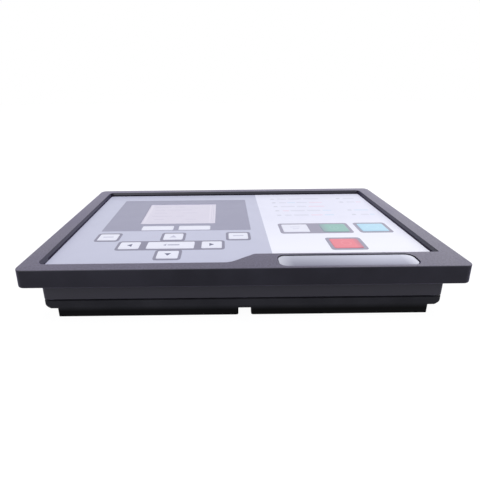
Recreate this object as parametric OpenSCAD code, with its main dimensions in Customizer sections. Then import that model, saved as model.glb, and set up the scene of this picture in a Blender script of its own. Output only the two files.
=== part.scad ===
// Operator display panel of a generating set, lying on its back with its face up.
// X runs along the panel's width, Y towards its top edge, Z out of its face.
// The origin is the centre of the footprint, on the surface that the rear feet stand on.

/* [Front bezel] */
// Width of the raised rim, at its rear edge
panel_w = 280; // [274:1:340]
// Depth of the raised rim, bottom edge to top edge
panel_d = 170; // [166:1:220]
// Plan radius of the rim's corners
rim_corner_r = 5; // [3:0.5:9]
// Thickness of the rim, face to panel seat
rim_h = 12.4; // [10:0.2:18]
// Width of the rim's face at the left and right
rim_side = 11; // [10:0.5:16]
// Width of the rim's face along the top edge
rim_far = 7.6; // [7.4:0.2:14]
// Width of the rim's face along the bottom edge
rim_near = 8.2; // [8:0.2:14]
// How far the rim's face is narrower than its rear edge, each side
rim_draft = 0.2; // [0:0.1:1.5]
// Edge radius between the rim's face and its side
rim_face_r = 0.5; // [0.4:0.1:1.5]
// Edge radius between the rim's side and its rear face
rim_rear_r = 1.2; // [0.5:0.1:1.5]
// Depth of the overlay's surface below the rim's face
recess_h = 3.5; // [2:0.1:5]
// How far the recess walls lean outwards
recess_slant = 1.2; // [0.5:0.1:1.4]
// Plan radius of the recess corners at the overlay
recess_corner_r = 3; // [2:0.5:5]
// Thickness of the recess floor
floor_t = 2.5; // [2:0.1:4]
// Overhang of the rim past the body behind it
rim_overhang = 9.8; // [9.6:0.1:13]
// Plan radius of the body's corners
body_corner_r = 3; // [2:0.5:4]
// Plan radius of the body's corners inside
inner_corner_r = 2; // [1:0.5:3]
// Wall thickness of the body
wall_t = 2.5; // [2:0.1:3.2]
// Height of the body's side, rim to parting groove
skirt_h = 14; // [13:0.2:24]
// Height of the shadow groove between bezel and rear cover
groove_h = 1.4; // [0.6:0.1:3]

/* [Badge shelf] */
// Depth of the shelf, from the rim's bottom edge
shelf_d = 19.6; // [18.6:0.2:24]
// Where the shelf starts, right of the panel's centre
shelf_x = -8.2; // [-12:0.2:4]
// Slope of the shelf's shoulder
shelf_angle = 35; // [25:1:45]
// Radius of the shoulder's foot
shelf_foot_r = 12; // [4:0.5:14]
// Radius of the shoulder's crest
shelf_crest_r = 5; // [4:0.5:10]
// Width of the bare badge plate
badge_w = 87.4; // [60:0.2:90]
// Depth of the bare badge plate
badge_d = 14.2; // [12.2:0.2:14.4]
// Thickness of the badge plate
badge_t = 0.8; // [0.5:0.1:1.2]
// Depth of the badge's face below the rim's face
badge_sink = 1; // [0.4:0.1:1.2]
// Distance from the rim's right edge to the middle of the badge
badge_from_right = 74; // [64:0.2:80]
// Distance from the rim's bottom edge to the middle of the badge
badge_from_near = 10.1; // [9.8:0.1:10.4]
// Plan radius of the badge's corners
badge_r = 5; // [1:0.2:6]

/* [Keypad laminate] */
// Thickness of the printed film
film_t = 0.4; // [0.2:0.05:0.6]
// Thickness of the spacer below the film
spacer_t = 0.6; // [0.6:0.05:1]
// Thickness of the printed circuit film
circuit_t = 0.3; // [0.2:0.05:0.5]
// Height that the key pads are embossed
emboss_h = 0.4; // [0.2:0.05:0.6]
// Thickness of an ink field on the film
ink_t = 0.04; // [0.02:0.01:0.08]
// Width of the printed outline round a navigation key
outline_w = 2; // [1:0.1:2.4]
// Width of the printed outline round a run key
run_outline_w = 2.6; // [1:0.1:3]
// Diameter of a snap dome
dome_d = 8; // [6:0.5:9]
// Rise of a snap dome
dome_h = 0.4; // [0.2:0.05:0.4]
// Thickness of a dome's sheet
dome_t = 0.15; // [0.1:0.05:0.2]
// Margin from a dome's hole to the edge of a narrow key
dome_margin = 0.6; // [0.4:0.1:1]
// Web left between the lens and the soft keys' holes
dome_web = 0.4; // [0.3:0.1:0.8]
// Width of the grey part of the print, from the film's left edge
grey_w = 148.6; // [146:0.2:152]
// Radius that the circuit film's tail bends to
tail_bend_r = 1.2; // [0.8:0.1:1.8]

/* [Keys] */
// Width of a navigation key
nav_w = 14.6; // [12:0.2:17]
// Depth of a navigation key
nav_d = 11.2; // [9:0.2:12.6]
// Sideways step from the middle key to the arrow keys
nav_step_x = 29.4; // [27:0.2:30]
// Step between the rows of navigation keys
nav_step_y = 15; // [14.6:0.2:16]
// Sideways step from the middle key to the outer keys
outer_step_x = 49; // [46:0.5:50]
// Width of the middle key
enter_w = 34; // [20:0.5:36]
// Distance from the rim's bottom edge to the middle key
nav_from_near = 41.1; // [40:0.1:43]
// Width of a soft key below the display
soft_w = 25.4; // [16:0.2:27]
// Depth of a soft key
soft_d = 8.4; // [7:0.2:9]
// Step between the two soft keys
soft_step = 29.4; // [28.8:0.2:34]
// Width of a run key
run_w = 20.6; // [16:0.2:24]
// Depth of a run key
run_d = 15.4; // [12:0.2:20]
// Sideways step between the run keys
run_step = 30.6; // [29:0.2:32]
// Step from the row of run keys to the stop key
stop_step = 29; // [26:0.5:32]
// Distance from the rim's bottom edge to the row of run keys
run_from_near = 70; // [68:0.2:80]
// Distance from the rim's right edge to the start key
run_from_right = 64.4; // [60:0.2:66]

/* [Indicators] */
// Rows of indicator lamps
lamp_rows = 5; // [3:1:5]
// Step between the rows of lamps
lamp_step = 11.5; // [8:0.5:12]
// Distance from the rim's top edge to the first row
lamp_from_far = 24; // [20:0.5:26]
// Width of a lamp's window
lamp_w = 3; // [2:0.2:4]
// Depth of a lamp's window
lamp_d = 2; // [1:0.2:3]
// Distance from the grey part of the print to the left column
lamp_from_grey = 16; // [10:0.5:20]
// Distance from the film's right edge to the right column
lamp_from_right = 25.6; // [20:0.2:30]
// Width of a lamp
led_w = 1.6; // [1:0.1:1.8]
// Depth of a lamp
led_d = 0.8; // [0.6:0.1:0.9]
// Height of a lamp
led_h = 0.5; // [0.3:0.05:0.55]

/* [Display] */
// Width of the display's visible area
view_w = 62.5; // [50:0.5:64]
// Depth of the display's visible area
view_d = 52.5; // [40:0.5:54]
// Distance from the film's left edge to the middle of the display
view_from_left = 77.8; // [77:0.1:79]
// Distance from the rim's top edge to the middle of the display
view_from_far = 62.75; // [60:0.25:63]
// Width of the grey display field
field_w = 117.8; // [100:0.2:120]
// Depth of the grey display field
field_d = 77; // [72:0.5:78]
// Distance from the rim's top edge to the far edge of the field
field_from_far = 25; // [22:0.5:25]
// How far the field's middle lies right of the display's
field_shift = 0.6; // [0:0.1:1.2]
// Width of the ledge that the display's lens lies on
lens_ledge = 2; // [1.5:0.1:2.5]
// Gap between the visible area and the edge of the aperture
aperture_gap = 1.5; // [0.5:0.1:2]
// Thickness of the floor over the display's frame
thin_floor_t = 1; // [0.8:0.1:1.5]
// Thickness of the foam ring in front of the display
dust_ring_t = 0.5; // [0.3:0.1:1]
// Width of the display frame's border, past the visible area
frame_border = 4.5; // [4:0.1:6]
// Sheet thickness of the display's frame
frame_t = 0.4; // [0.3:0.05:0.8]
// Gap between the visible area and the window in the frame
frame_window_gap = 0.5; // [0.2:0.1:1.5]
// Width of the frame's twisted tabs
tab_w = 4; // [2:0.5:6]
// Step between the frame's tabs
tab_step = 36; // [20:1:50]
// Length of the tabs behind the display's board
tab_l = 1; // [0.5:0.1:2]
// Thickness of the display glass
glass_t = 2; // [1.5:0.1:3]
// Thickness of the backlight
backlight_t = 4; // [3:0.1:6]
// Thickness of the circuit boards
board_t = 1.6; // [1:0.1:2]
// Width of the display board's ears at the left and right
ear_w = 7.5; // [7:0.1:9]
// How far the display's board stands past the frame at its top and bottom
board_edge = 1; // [0.5:0.1:2]
// Distance between the display board's holes, front to back
ear_step = 48; // [30:1:50]

/* [Main board] */
// Gap between the display board and the main board
board_gap = 5.7; // [4.5:0.1:8]
// Gap between the main board's edge and the body's wall
board_side_gap = 5.2; // [4:0.1:8]
// Plan radius of the main board's corners
board_corner_r = 6; // [5:0.5:10]
// Diameter of the board's bosses
board_boss_d = 7; // [6:0.5:8]
// Distance from the board's edge to its holes
board_hole_inset = 4; // [3.6:0.1:6]
// Diameter of the boards' screws
board_screw_d = 2.5; // [2:0.1:3]
// Head diameter of the boards' screws
board_head_d = 4.6; // [4:0.1:5.5]
// Head height of the boards' screws
board_head_h = 1.6; // [1:0.1:2]
// Length of the boards' screws below the head
board_screw_l = 6; // [5:0.5:6.5]
// Length of the header that joins the boards
stack_header_w = 40; // [20:1:60]
// Depth of the header that joins the boards
stack_header_d = 5; // [3:0.5:6]
// Distance from the display's far edge to that header
stack_header_inset = 2.5; // [1:0.5:6]
// Height of the chips
chip_h = 1.6; // [1:0.1:2.4]
// Diameter of a capacitor
capacitor_d = 10; // [6:0.5:12]
// Height of a capacitor
capacitor_h = 10; // [6:0.5:12]
// Step between the capacitors
capacitor_step = 14; // [12.5:0.5:15]
// Side of the inductor
inductor_w = 14; // [10:0.5:16]
// Height of the inductor
inductor_h = 8; // [6:0.5:10]
// Thickness of the inductor's flanges
inductor_flange_t = 1.5; // [1:0.1:2.5]
// Step from the display's middle to the second row of components
part_row_step = 34; // [32:1:38]
// Width of the keypad's tail
tail_w = 16; // [10:0.5:24]
// Depth of the tail's slot in the bezel's floor
tail_slot_d = 3; // [2.8:0.1:4]
// Height of the tail's socket
tail_socket_h = 3.5; // [3:0.1:5]
// Depth of the tail's socket
tail_socket_d = 4.4; // [3:0.1:6]
// Width of the tail's socket past each side of the tail
tail_socket_side = 2.5; // [1:0.5:4]
// Distance from the rim's bottom edge to the tail's slot
tail_from_near = 30; // [29:0.5:34]
// Distance from the rim's right edge to the middle of the tail
tail_from_right = 92; // [88:1:98]

/* [Connectors] */
// Contacts in each row of the power header
power_ways = 4; // [2:1:6]
// Contacts in the signal header
signal_ways = 10; // [4:1:12]
// Pitch of the power header
power_pitch = 4.2; // [4:0.1:5.1]
// Pitch of the signal header
signal_pitch = 5.08; // [5:0.02:5.1]
// Wall of a header's shroud
shroud_t = 1.4; // [1:0.1:2]
// Depth of the power header's cavity, front to back
power_cavity_d = 9.6; // [9:0.2:12]
// Depth of the signal header's cavity, front to back
signal_cavity_d = 8.4; // [8:0.2:12]
// Depth that a plug goes into a header
socket_h = 9; // [6:0.5:11]
// How far the headers and their collars stand out of the rear cover
header_proud = 0.5; // [0:0.1:2]
// Width of the collar round each header's opening
collar_w = 1.6; // [1:0.1:2.4]
// Room past the end contacts of a header, each end
header_end_gap = 1; // [0.6:0.1:2]
// Width of the polarising slot in a header's shroud
polar_w = 4; // [2:0.5:6]
// Height of the polarising slot in a header's shroud
polar_h = 5; // [3:0.5:7]
// Distance of the headers' row from the rim's bottom edge
header_from_near = 50; // [44:1:60]
// Distance from the rim's left edge to the power header
power_from_left = 82; // [70:1:90]
// Distance from the rim's right edge to the signal header
signal_from_right = 82; // [76:1:90]
// Side of a header's square contact
pin_w = 1; // [0.6:0.1:1.2]
// Depth of the contacts' tips below the header's mouth
pin_sink = 4.5; // [4.2:0.1:6]

/* [Rear cover] */
// Height of the feet below the cover
foot_h = 5.8; // [4:0.1:9]
// Thickness of a foot's wall
foot_t = 3.2; // [2:0.1:5]
// Distance from the body's side to the end of a foot
foot_inset = 8.9; // [8:0.1:12]
// Length of the return at the end of each foot
foot_return = 14; // [6:1:30]
// Chamfer along a foot's lower edge
foot_chamfer = 0.7; // [0.2:0.1:1.2]
// Width of the notch in the middle of each foot
notch_w = 8.4; // [7:0.2:14]
// Sideways place of the notch
notch_x = 1.4; // [-2:0.1:4]
// Flare at the foot of the notch, each side
notch_lead = 1.2; // [0.4:0.1:2]
// Height of the cover's outside wall
cover_h = 6.4; // [5:0.1:9]
// Thickness of the cover's floor
cover_floor_t = 2.5; // [2:0.1:3.2]
// How far the cover steps back beside the feet
side_relief = 1; // [0.4:0.1:1.4]
// Width of the chamfer along the cover's sides
side_chamfer_w = 4.4; // [1:0.1:5]
// Height of the chamfer along the cover's sides
side_chamfer_h = 2.8; // [1:0.1:3]
// Thickness of the locating lip
lip_t = 1.6; // [1.2:0.1:2]
// Height of the locating lip above the cover's edge
lip_h = 4; // [2:0.1:5]
// Thickness of the ribs inside the cover
rib_t = 1.6; // [1:0.1:2.4]
// Height of the ribs inside the cover
rib_h = 2; // [1:0.1:4]
// Distance from the headers' row to the ribs beside it
rib_from_header = 9.2; // [8.6:0.2:12]
// Step between the ribs along the cover
rib_step_y = 36; // [24:1:38]
// Step between the ribs across the cover
rib_step_x = 64; // [40:1:70]
// Diameter of the cover's screws
cover_screw_d = 3; // [2.5:0.1:3.5]
// Head diameter of the cover's screws
cover_head_d = 5.2; // [4.6:0.1:5.6]
// Head height of the cover's screws
cover_head_h = 1.5; // [1:0.1:2]
// Length of the cover's screws below the head
cover_screw_l = 14; // [10:0.5:16]
// Diameter of the cover's bosses
cover_boss_d = 6.8; // [6:0.1:7]
// Distance from the body's side to the cover's screws
cover_screw_inset = 5.1; // [4.8:0.1:5.2]

/* [Panel mounting] */
// Depth of the gasket's step in the rear of the rim
seat_step = 3.2; // [2.5:0.1:4]
// Wall outside the gasket's step
seat_wall = 2; // [1.8:0.1:2.1]
// Plan radius of the gasket step's corners
seat_corner_r = 3; // [1:0.5:3]
// Thickness of the panel gasket
gasket_t = 3.8; // [3:0.1:5]
// Outside diameter of a threaded insert
insert_d = 5.4; // [5:0.1:5.6]
// Bore diameter of a threaded insert
insert_bore_d = 3.3; // [3:0.1:3.6]
// Length of a threaded insert
insert_l = 5; // [3:0.1:5.5]
// Distance from the rim's edge to the inserts
insert_inset = 5; // [4.9:0.05:5.2]
// Diameter of the screw holes in the gasket
gasket_hole_d = 4.6; // [4.4:0.1:4.8]
// Cored pockets along each side of the rim
core_side_n = 4; // [2:1:5]
// Cored pockets in each half of the rim's top and bottom edges
core_end_n = 3; // [2:1:4]
// Skin left above the cored pockets in the rim
core_skin = 4; // [3.4:0.1:5]
// Rib left between the cored pockets
core_rib = 2.4; // [1.5:0.1:3]
// Width of the cored pockets in the rim's sides
core_side_w = 7; // [4:0.5:7.5]
// Width of the cored pockets in the rim's top and bottom edges
core_end_w = 3.4; // [2:0.1:3.6]

/* [Hidden] */

$fn = 64;
arc_steps = 8;      // straight steps along each arc of the shelf's shoulder
fit_gap = 0.3;      // all round between parts that drop into each other
thread_gap = 0.05;  // between a screw or an insert and its hole
hole_gap = 0.2;     // all round between a screw and its clearance hole
cut = 1;            // how far a cutter runs past the face that it opens
fuse = 0.5;         // how far a boss or rib runs into what carries it
boss_step = 0.5;    // how much wider the cover's bosses are than the bezel's on them, each side
socket_ratio = 0.5; // width of a screw's hexagon socket to its head's diameter

// Levels, from the surface that the feet stand on
z_cover = foot_h;
z_split = z_cover + cover_h;
z_skirt = z_split + groove_h;
z_rim = z_skirt + skirt_h;
z_face = z_rim + rim_h;
z_film = z_face - recess_h;
z_film_back = z_film - film_t;
z_spacer_back = z_film_back - spacer_t;
z_seat = z_spacer_back - circuit_t;
z_floor = z_seat - floor_t;
z_thin = z_seat - thin_floor_t;
z_frame = z_thin - dust_ring_t;
z_glass = z_frame - frame_t;
z_backlight = z_glass - glass_t;
z_display_board = z_backlight - backlight_t;
z_main = z_display_board - board_t - board_gap;
z_main_back = z_main - board_t;
z_step = z_rim + seat_step;
z_header = z_cover - header_proud;
z_tail = z_main + 1;

// Plan sizes
body_w = panel_w - 2 * rim_overhang;
body_d = panel_d - 2 * rim_overhang;
inner_w = body_w - 2 * wall_t;
inner_d = body_d - 2 * wall_t;
film_left = -panel_w / 2 + rim_side + recess_slant;
film_right = -film_left;
film_near = -panel_d / 2 + rim_near + recess_slant;
film_far = panel_d / 2 - rim_far - recess_slant;
recess_w = film_right - film_left;
recess_d = film_far - film_near;
recess_y = (film_far + film_near) / 2;
grey_edge = film_left + grey_w;
view_x = film_left + view_from_left;
view_y = panel_d / 2 - view_from_far;
badge_x = panel_w / 2 - badge_from_right;
badge_y = -panel_d / 2 + badge_from_near;
shelf_y = -panel_d / 2 + shelf_d;
nav_y = -panel_d / 2 + nav_from_near;
run_x = panel_w / 2 - run_from_right;
run_y = -panel_d / 2 + run_from_near;
lamp_y = panel_d / 2 - lamp_from_far;
lamp_left_x = grey_edge + lamp_from_grey;
lamp_right_x = film_right - lamp_from_right;
display_w = view_w + 2 * frame_border;
display_d = view_d + 2 * frame_border;
board_w = inner_w - 2 * board_side_gap;
board_d = inner_d - 2 * board_side_gap;
tail_x = panel_w / 2 - tail_from_right;
tail_y = -panel_d / 2 + tail_from_near;
power_x = -panel_w / 2 + power_from_left;
signal_x = panel_w / 2 - signal_from_right;
header_y = -panel_d / 2 + header_from_near;
power_w = power_ways * power_pitch + 2 * header_end_gap;
signal_w = signal_ways * signal_pitch + 2 * header_end_gap;
insert_x = panel_w / 2 - insert_inset;
insert_y = panel_d / 2 - insert_inset;
foot_x = body_w / 2 - foot_inset;
cover_screw_x = body_w / 2 - cover_screw_inset;
cover_screw_y = body_d / 2 - cover_screw_inset;
lens_w = view_w + 2 * (aperture_gap + lens_ledge);
lens_d = view_d + 2 * (aperture_gap + lens_ledge);
soft_y = view_y - lens_d / 2 - fit_gap - dome_web - soft_d / 2 + dome_margin;

// Colours of the real parts
black_plastic = [0.17, 0.17, 0.19];
ink_grey = [0.80, 0.80, 0.87];
ink_dark_grey = [0.60, 0.60, 0.67];
ink_white = [0.95, 0.95, 0.98];
ink_outline = [0.50, 0.50, 0.58];
ink_green = [0.38, 0.66, 0.54];
ink_red = [0.95, 0.45, 0.48];
ink_cyan = [0.68, 0.88, 0.96];
board_green = [0.10, 0.38, 0.22];

// Every key: centre, width and depth
key_soft = [for (s = [-1, 1]) [view_x + s * soft_step / 2, soft_y, soft_w, soft_d]];
key_nav = [
    [view_x - outer_step_x, nav_y + nav_step_y, nav_w, nav_d],
    [view_x, nav_y + nav_step_y, nav_w, nav_d],
    [view_x + outer_step_x, nav_y + nav_step_y, nav_w, nav_d],
    [view_x - nav_step_x, nav_y, nav_w, nav_d],
    [view_x, nav_y, enter_w, nav_d],
    [view_x + nav_step_x, nav_y, nav_w, nav_d],
    [view_x, nav_y - nav_step_y, nav_w, nav_d]
];
key_manual = [run_x - run_step, run_y, run_w, run_d];
key_start = [run_x, run_y, run_w, run_d];
key_auto = [run_x + run_step, run_y, run_w, run_d];
key_stop = [run_x, run_y - stop_step, run_w, run_d];
keys = concat(key_soft, key_nav, [key_manual, key_start, key_auto, key_stop]);

// Rows of keys that share one printed outline
row_nav = [view_x, nav_y, 2 * nav_step_x + nav_w, nav_d];
row_run = [run_x - run_step / 2, run_y, run_step + run_w, run_d];

// Indicator lamps: a full column at the left and one without its middle row at the right
lamps = concat(
    [for (i = [0:lamp_rows - 1]) [lamp_left_x, lamp_y - i * lamp_step]],
    [for (i = [0:lamp_rows - 1]) if (i != 2) [lamp_right_x, lamp_y - i * lamp_step]]
);

cover_screw_places = [
    for (x = [-cover_screw_x, notch_x, cover_screw_x], y = [-cover_screw_y, cover_screw_y]) [x, y]
];
board_screw_places = [
    for (x = [-board_w / 2 + board_hole_inset, grey_edge, board_w / 2 - board_hole_inset],
         y = [-board_d / 2 + board_hole_inset, board_d / 2 - board_hole_inset]) [x, y]
];
display_screw_places = [
    for (sx = [-1, 1], sy = [-1, 1])
        [view_x + sx * (display_w / 2 + ear_w / 2), view_y + sy * ear_step / 2]
];
insert_places = [for (x = [-insert_x, 0, insert_x], y = [-insert_y, insert_y]) [x, y]];

// Components beside the display: centre and side
part_row_y = view_y - part_row_step;
chips = [[run_x, view_y, 20], [run_x - run_step, view_y, 12], [run_x, part_row_y, 10]];

// Shared shapes

module rounded_rect(w, d, r) {
    square([w - 2 * r, d], center = true);
    square([w, d - 2 * r], center = true);
    for (sx = [-1, 1], sy = [-1, 1])
        translate([sx * (w / 2 - r), sy * (d / 2 - r)]) circle(r = r);
}

module slab(w, d, r, z0, z1) {
    translate([0, 0, z0]) linear_extrude(z1 - z0) rounded_rect(w, d, r);
}

module box_at(x, y, w, d, z0, z1) {
    translate([x - w / 2, y - d / 2, z0]) cube([w, d, z1 - z0]);
}

module post(x, y, d, z0, z1) {
    translate([x, y, z0]) cylinder(d = d, h = z1 - z0);
}

// A block whose four sides and corners follow an edge profile: the profile's x is
// the distance out from the corner's centre and its y is the height
module edge_block(w, d, r, z0, z1) {
    long = w - 2 * r;
    short = d - 2 * r;
    translate([-long / 2, -short / 2, z0]) cube([long, short, z1 - z0]);
    for (a = [0, 180]) {
        rotate(a) translate([-long / 2, short / 2, 0])
            rotate([90, 0, 90]) linear_extrude(long) children();
        rotate(a - 90) translate([-short / 2, long / 2, 0])
            rotate([90, 0, 90]) linear_extrude(short) children();
    }
    for (i = [0:3]) {
        sx = (i == 0 || i == 3) ? 1 : -1;
        sy = i < 2 ? 1 : -1;
        translate([sx * long / 2, sy * short / 2, 0]) rotate(90 * i)
            rotate_extrude(angle = 90) children();
    }
}

// Pan head screw with a hexagon socket, driven upwards from below
module screw_up(x, y, z_seat_face, d, l, head_d, head_h) {
    translate([x, y, z_seat_face]) difference() {
        union() {
            cylinder(d = d, h = l);
            translate([0, 0, -head_h / 2]) cylinder(d = head_d, h = head_h / 2);
            translate([0, 0, -head_h]) cylinder(d1 = 0.8 * head_d, d2 = head_d, h = head_h / 2);
        }
        translate([0, 0, -head_h - cut])
            cylinder(d = socket_ratio * head_d, h = head_h / 2 + cut, $fn = 6);
    }
}

// Points along an arc round c, from angle a0 to a1
function arc(c, r, a0, a1) = [
    for (i = [0:arc_steps]) let (a = a0 + (a1 - a0) * i / arc_steps) [c.x + r * cos(a), c.y + r * sin(a)]
];

// Plan outline of the shelf that carries the badge, with its S-shaped shoulder, grown by a gap
module shelf_outline(gap) {
    base = -panel_d / 2 + rim_near;
    foot_run = shelf_foot_r * tan(shelf_angle / 2);
    crest_run = shelf_crest_r * tan(shelf_angle / 2);
    slope_run = (shelf_y - base) / tan(shelf_angle);
    foot = [shelf_x - foot_run, base + shelf_foot_r];
    crest = [shelf_x + slope_run + crest_run, shelf_y - shelf_crest_r];
    polygon(concat(
        arc(foot, shelf_foot_r - gap, -90, shelf_angle - 90),
        arc(crest, shelf_crest_r + gap, 90 + shelf_angle, 90),
        [[panel_w / 2, shelf_y + gap], [panel_w / 2, -panel_d / 2], [foot.x, -panel_d / 2]]
    ));
}

// Plan outline of the films in the recess, drawn in by a gap from its walls
module laminate_outline(gap) {
    difference() {
        translate([0, recess_y])
            rounded_rect(recess_w - 2 * gap, recess_d - 2 * gap, recess_corner_r - gap);
        shelf_outline(gap);
    }
}

// The opening in the bezel's floor that the display shows through
module aperture(z0, z1) {
    box_at(view_x, view_y, view_w + 2 * aperture_gap, view_d + 2 * aperture_gap, z0, z1);
}

// Front bezel

module rim_profile() {
    r = rim_corner_r;
    polygon([
        [0, z_rim], [r - rim_rear_r, z_rim], [r, z_rim + rim_rear_r],
        [r - rim_draft, z_face - rim_face_r], [r - rim_draft - rim_face_r, z_face], [0, z_face]
    ]);
    translate([r - rim_rear_r, z_rim + rim_rear_r]) circle(r = rim_rear_r);
    translate([r - rim_draft - rim_face_r, z_face - rim_face_r]) circle(r = rim_face_r);
}

module recess_profile() {
    polygon([
        [0, z_seat], [recess_corner_r, z_seat], [recess_corner_r, z_film],
        [recess_corner_r + recess_slant, z_face],
        [recess_corner_r + recess_slant * (1 + cut / recess_h), z_face + cut], [0, z_face + cut]
    ]);
}

module recess_cut() {
    difference() {
        translate([0, recess_y, 0])
            edge_block(recess_w, recess_d, recess_corner_r, z_seat, z_face + cut) recess_profile();
        translate([0, 0, z_seat - cut]) linear_extrude(z_face - z_seat + 3 * cut) shelf_outline(0);
    }
}

module gasket_step() {
    difference() {
        slab(panel_w - 2 * seat_wall, panel_d - 2 * seat_wall, seat_corner_r, z_rim - cut, z_step);
        slab(body_w, body_d, body_corner_r, z_rim - 2 * cut, z_step + cut);
    }
}

// Pockets that core out the thick rim from behind, between the inserts
module core_pockets() {
    keep = insert_d / 2 + core_rib;
    side_run = 2 * (insert_y - keep);
    end_run = insert_x - 2 * keep;
    side_step = side_run / core_side_n;
    end_step = end_run / core_end_n;
    for (sx = [-1, 1]) {
        for (i = [0:core_side_n - 1])
            box_at(sx * (panel_w / 2 - seat_wall - core_side_w / 2), (i - (core_side_n - 1) / 2) * side_step,
                core_side_w, side_step - core_rib, z_step - cut, z_face - core_skin);
        for (sy = [-1, 1], i = [0:core_end_n - 1])
            box_at(sx * insert_x / 2 + (i - (core_end_n - 1) / 2) * end_step,
                sy * (panel_d / 2 - seat_wall - core_end_w / 2),
                end_step - core_rib, core_end_w, z_step - cut, z_face - core_skin);
    }
}

module front_bezel() {
    color(black_plastic) difference() {
        union() {
            difference() {
                union() {
                    edge_block(panel_w, panel_d, rim_corner_r, z_rim, z_face) rim_profile();
                    slab(body_w, body_d, body_corner_r, z_skirt, z_rim + fuse);
                }
                slab(inner_w, inner_d, inner_corner_r, z_skirt - cut, z_floor);
                recess_cut();
            }
            for (p = cover_screw_places) post(p.x, p.y, cover_boss_d, z_split, z_floor + fuse);
            for (p = board_screw_places) post(p.x, p.y, board_boss_d, z_main, z_floor + fuse);
            for (p = display_screw_places)
                post(p.x, p.y, ear_w - 2 * fit_gap, z_display_board, z_floor + fuse);
        }
        gasket_step();
        core_pockets();
        for (p = insert_places)
            post(p.x, p.y, insert_d + 2 * thread_gap, z_step - cut, z_step + insert_l + fit_gap);
        for (p = cover_screw_places)
            post(p.x, p.y, cover_screw_d + 2 * thread_gap, z_split - cut,
                z_cover + side_relief + cover_screw_l + fit_gap);
        for (p = board_screw_places)
            post(p.x, p.y, board_screw_d + 2 * thread_gap, z_main - cut,
                z_main_back + board_screw_l + fit_gap);
        for (p = display_screw_places)
            post(p.x, p.y, board_screw_d + 2 * thread_gap, z_display_board - cut,
                z_display_board - board_t + board_screw_l + fit_gap);
        aperture(z_floor - cut, z_seat + cut);
        box_at(view_x, view_y, display_w + 2 * fit_gap, display_d + 2 * fit_gap, z_floor - cut, z_thin);
        box_at(tail_x, tail_y, tail_w + 4 * fit_gap, tail_slot_d, z_floor - cut, z_seat + cut);
        translate([badge_x, badge_y, 0])
            slab(badge_w + 2 * fit_gap, badge_d + 2 * fit_gap, badge_r + fit_gap,
                z_face - badge_sink - badge_t, z_face + cut);
    }
}

module badge_plate() {
    color([0.74, 0.75, 0.78]) translate([badge_x, badge_y, 0])
        slab(badge_w, badge_d, badge_r, z_face - badge_sink - badge_t, z_face - badge_sink);
}

// Keypad laminate

module ink_field(x0, y0, x1, y1, layer) {
    translate([x0, y0, z_film]) cube([x1 - x0, y1 - y0, layer * ink_t]);
}

// The printed outline of a key or of a row of keys
module key_outline(k, line) {
    color(ink_outline)
        box_at(k.x, k.y, k[2] + 2 * line, k[3] + 2 * line, z_film - film_t / 2, z_film + 2 * ink_t);
}

// An embossed pad
module key_pad(k, ink) {
    color(ink) {
        box_at(k.x, k.y, k[2], k[3], z_film - film_t / 2, z_film + emboss_h / 2);
        translate([k.x, k.y, z_film + emboss_h / 2])
            linear_extrude(emboss_h / 2) rounded_rect(k[2] - emboss_h, k[3] - emboss_h, emboss_h);
    }
}

module graphic_overlay() {
    field_x = view_x + field_shift;
    difference() {
        union() {
            color(ink_grey) translate([0, 0, z_film_back])
                linear_extrude(film_t) laminate_outline(fit_gap);
            color(ink_dark_grey)
                ink_field(field_x - field_w / 2, panel_d / 2 - field_from_far - field_d,
                    field_x + field_w / 2, panel_d / 2 - field_from_far, 1);
            color(ink_white) intersection() {
                ink_field(grey_edge, film_near, film_right, film_far, 1);
                translate([0, 0, z_film]) linear_extrude(1) laminate_outline(fit_gap);
            }
            for (k = concat(key_nav, [row_nav])) key_outline(k, outline_w);
            for (k = [row_run, key_auto, key_stop]) key_outline(k, run_outline_w);
            for (k = concat(key_soft, key_nav, [key_manual])) key_pad(k, ink_white);
            key_pad(key_start, ink_green);
            key_pad(key_auto, ink_cyan);
            key_pad(key_stop, ink_red);
        }
        box_at(view_x, view_y, view_w, view_d, z_film_back - cut, z_film + cut);
    }
}

function dome_hole_d(k) = min(dome_d + 2 * fit_gap, k[3] - 2 * dome_margin);

module lens_opening(z0, z1) {
    box_at(view_x, view_y, lens_w + 2 * fit_gap, lens_d + 2 * fit_gap, z0, z1);
}

module keypad_spacer() {
    color([0.88, 0.88, 0.86]) difference() {
        translate([0, 0, z_spacer_back]) linear_extrude(spacer_t) laminate_outline(2 * fit_gap);
        for (k = keys) post(k.x, k.y, dome_hole_d(k), z_spacer_back - cut, z_film_back + cut);
        lens_opening(z_spacer_back - cut, z_film_back + cut);
        for (p = lamps) box_at(p.x, p.y, lamp_w, lamp_d, z_spacer_back - cut, z_film_back + cut);
    }
}

// A dome is a shallow dished disc, turned from the band between two arcs
module snap_dome(d) {
    steps = 6;
    ball_r = (d * d / 4 + dome_h * dome_h) / (2 * dome_h);
    reach = asin(d / 2 / ball_r);
    under = [for (i = [0:steps]) let (a = reach * i / steps)
        [(ball_r - dome_t) * sin(a), dome_h - ball_r + (ball_r - dome_t) * cos(a)]];
    over = [for (i = [steps:-1:0]) let (a = reach * i / steps)
        [ball_r * sin(a), dome_h - ball_r + ball_r * cos(a)]];
    translate([0, 0, dome_t]) rotate_extrude() polygon(concat(under, over));
}

module snap_domes() {
    color([0.78, 0.78, 0.76]) for (k = keys)
        translate([k.x, k.y, z_spacer_back]) snap_dome(dome_hole_d(k) - 2 * fit_gap);
}

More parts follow.
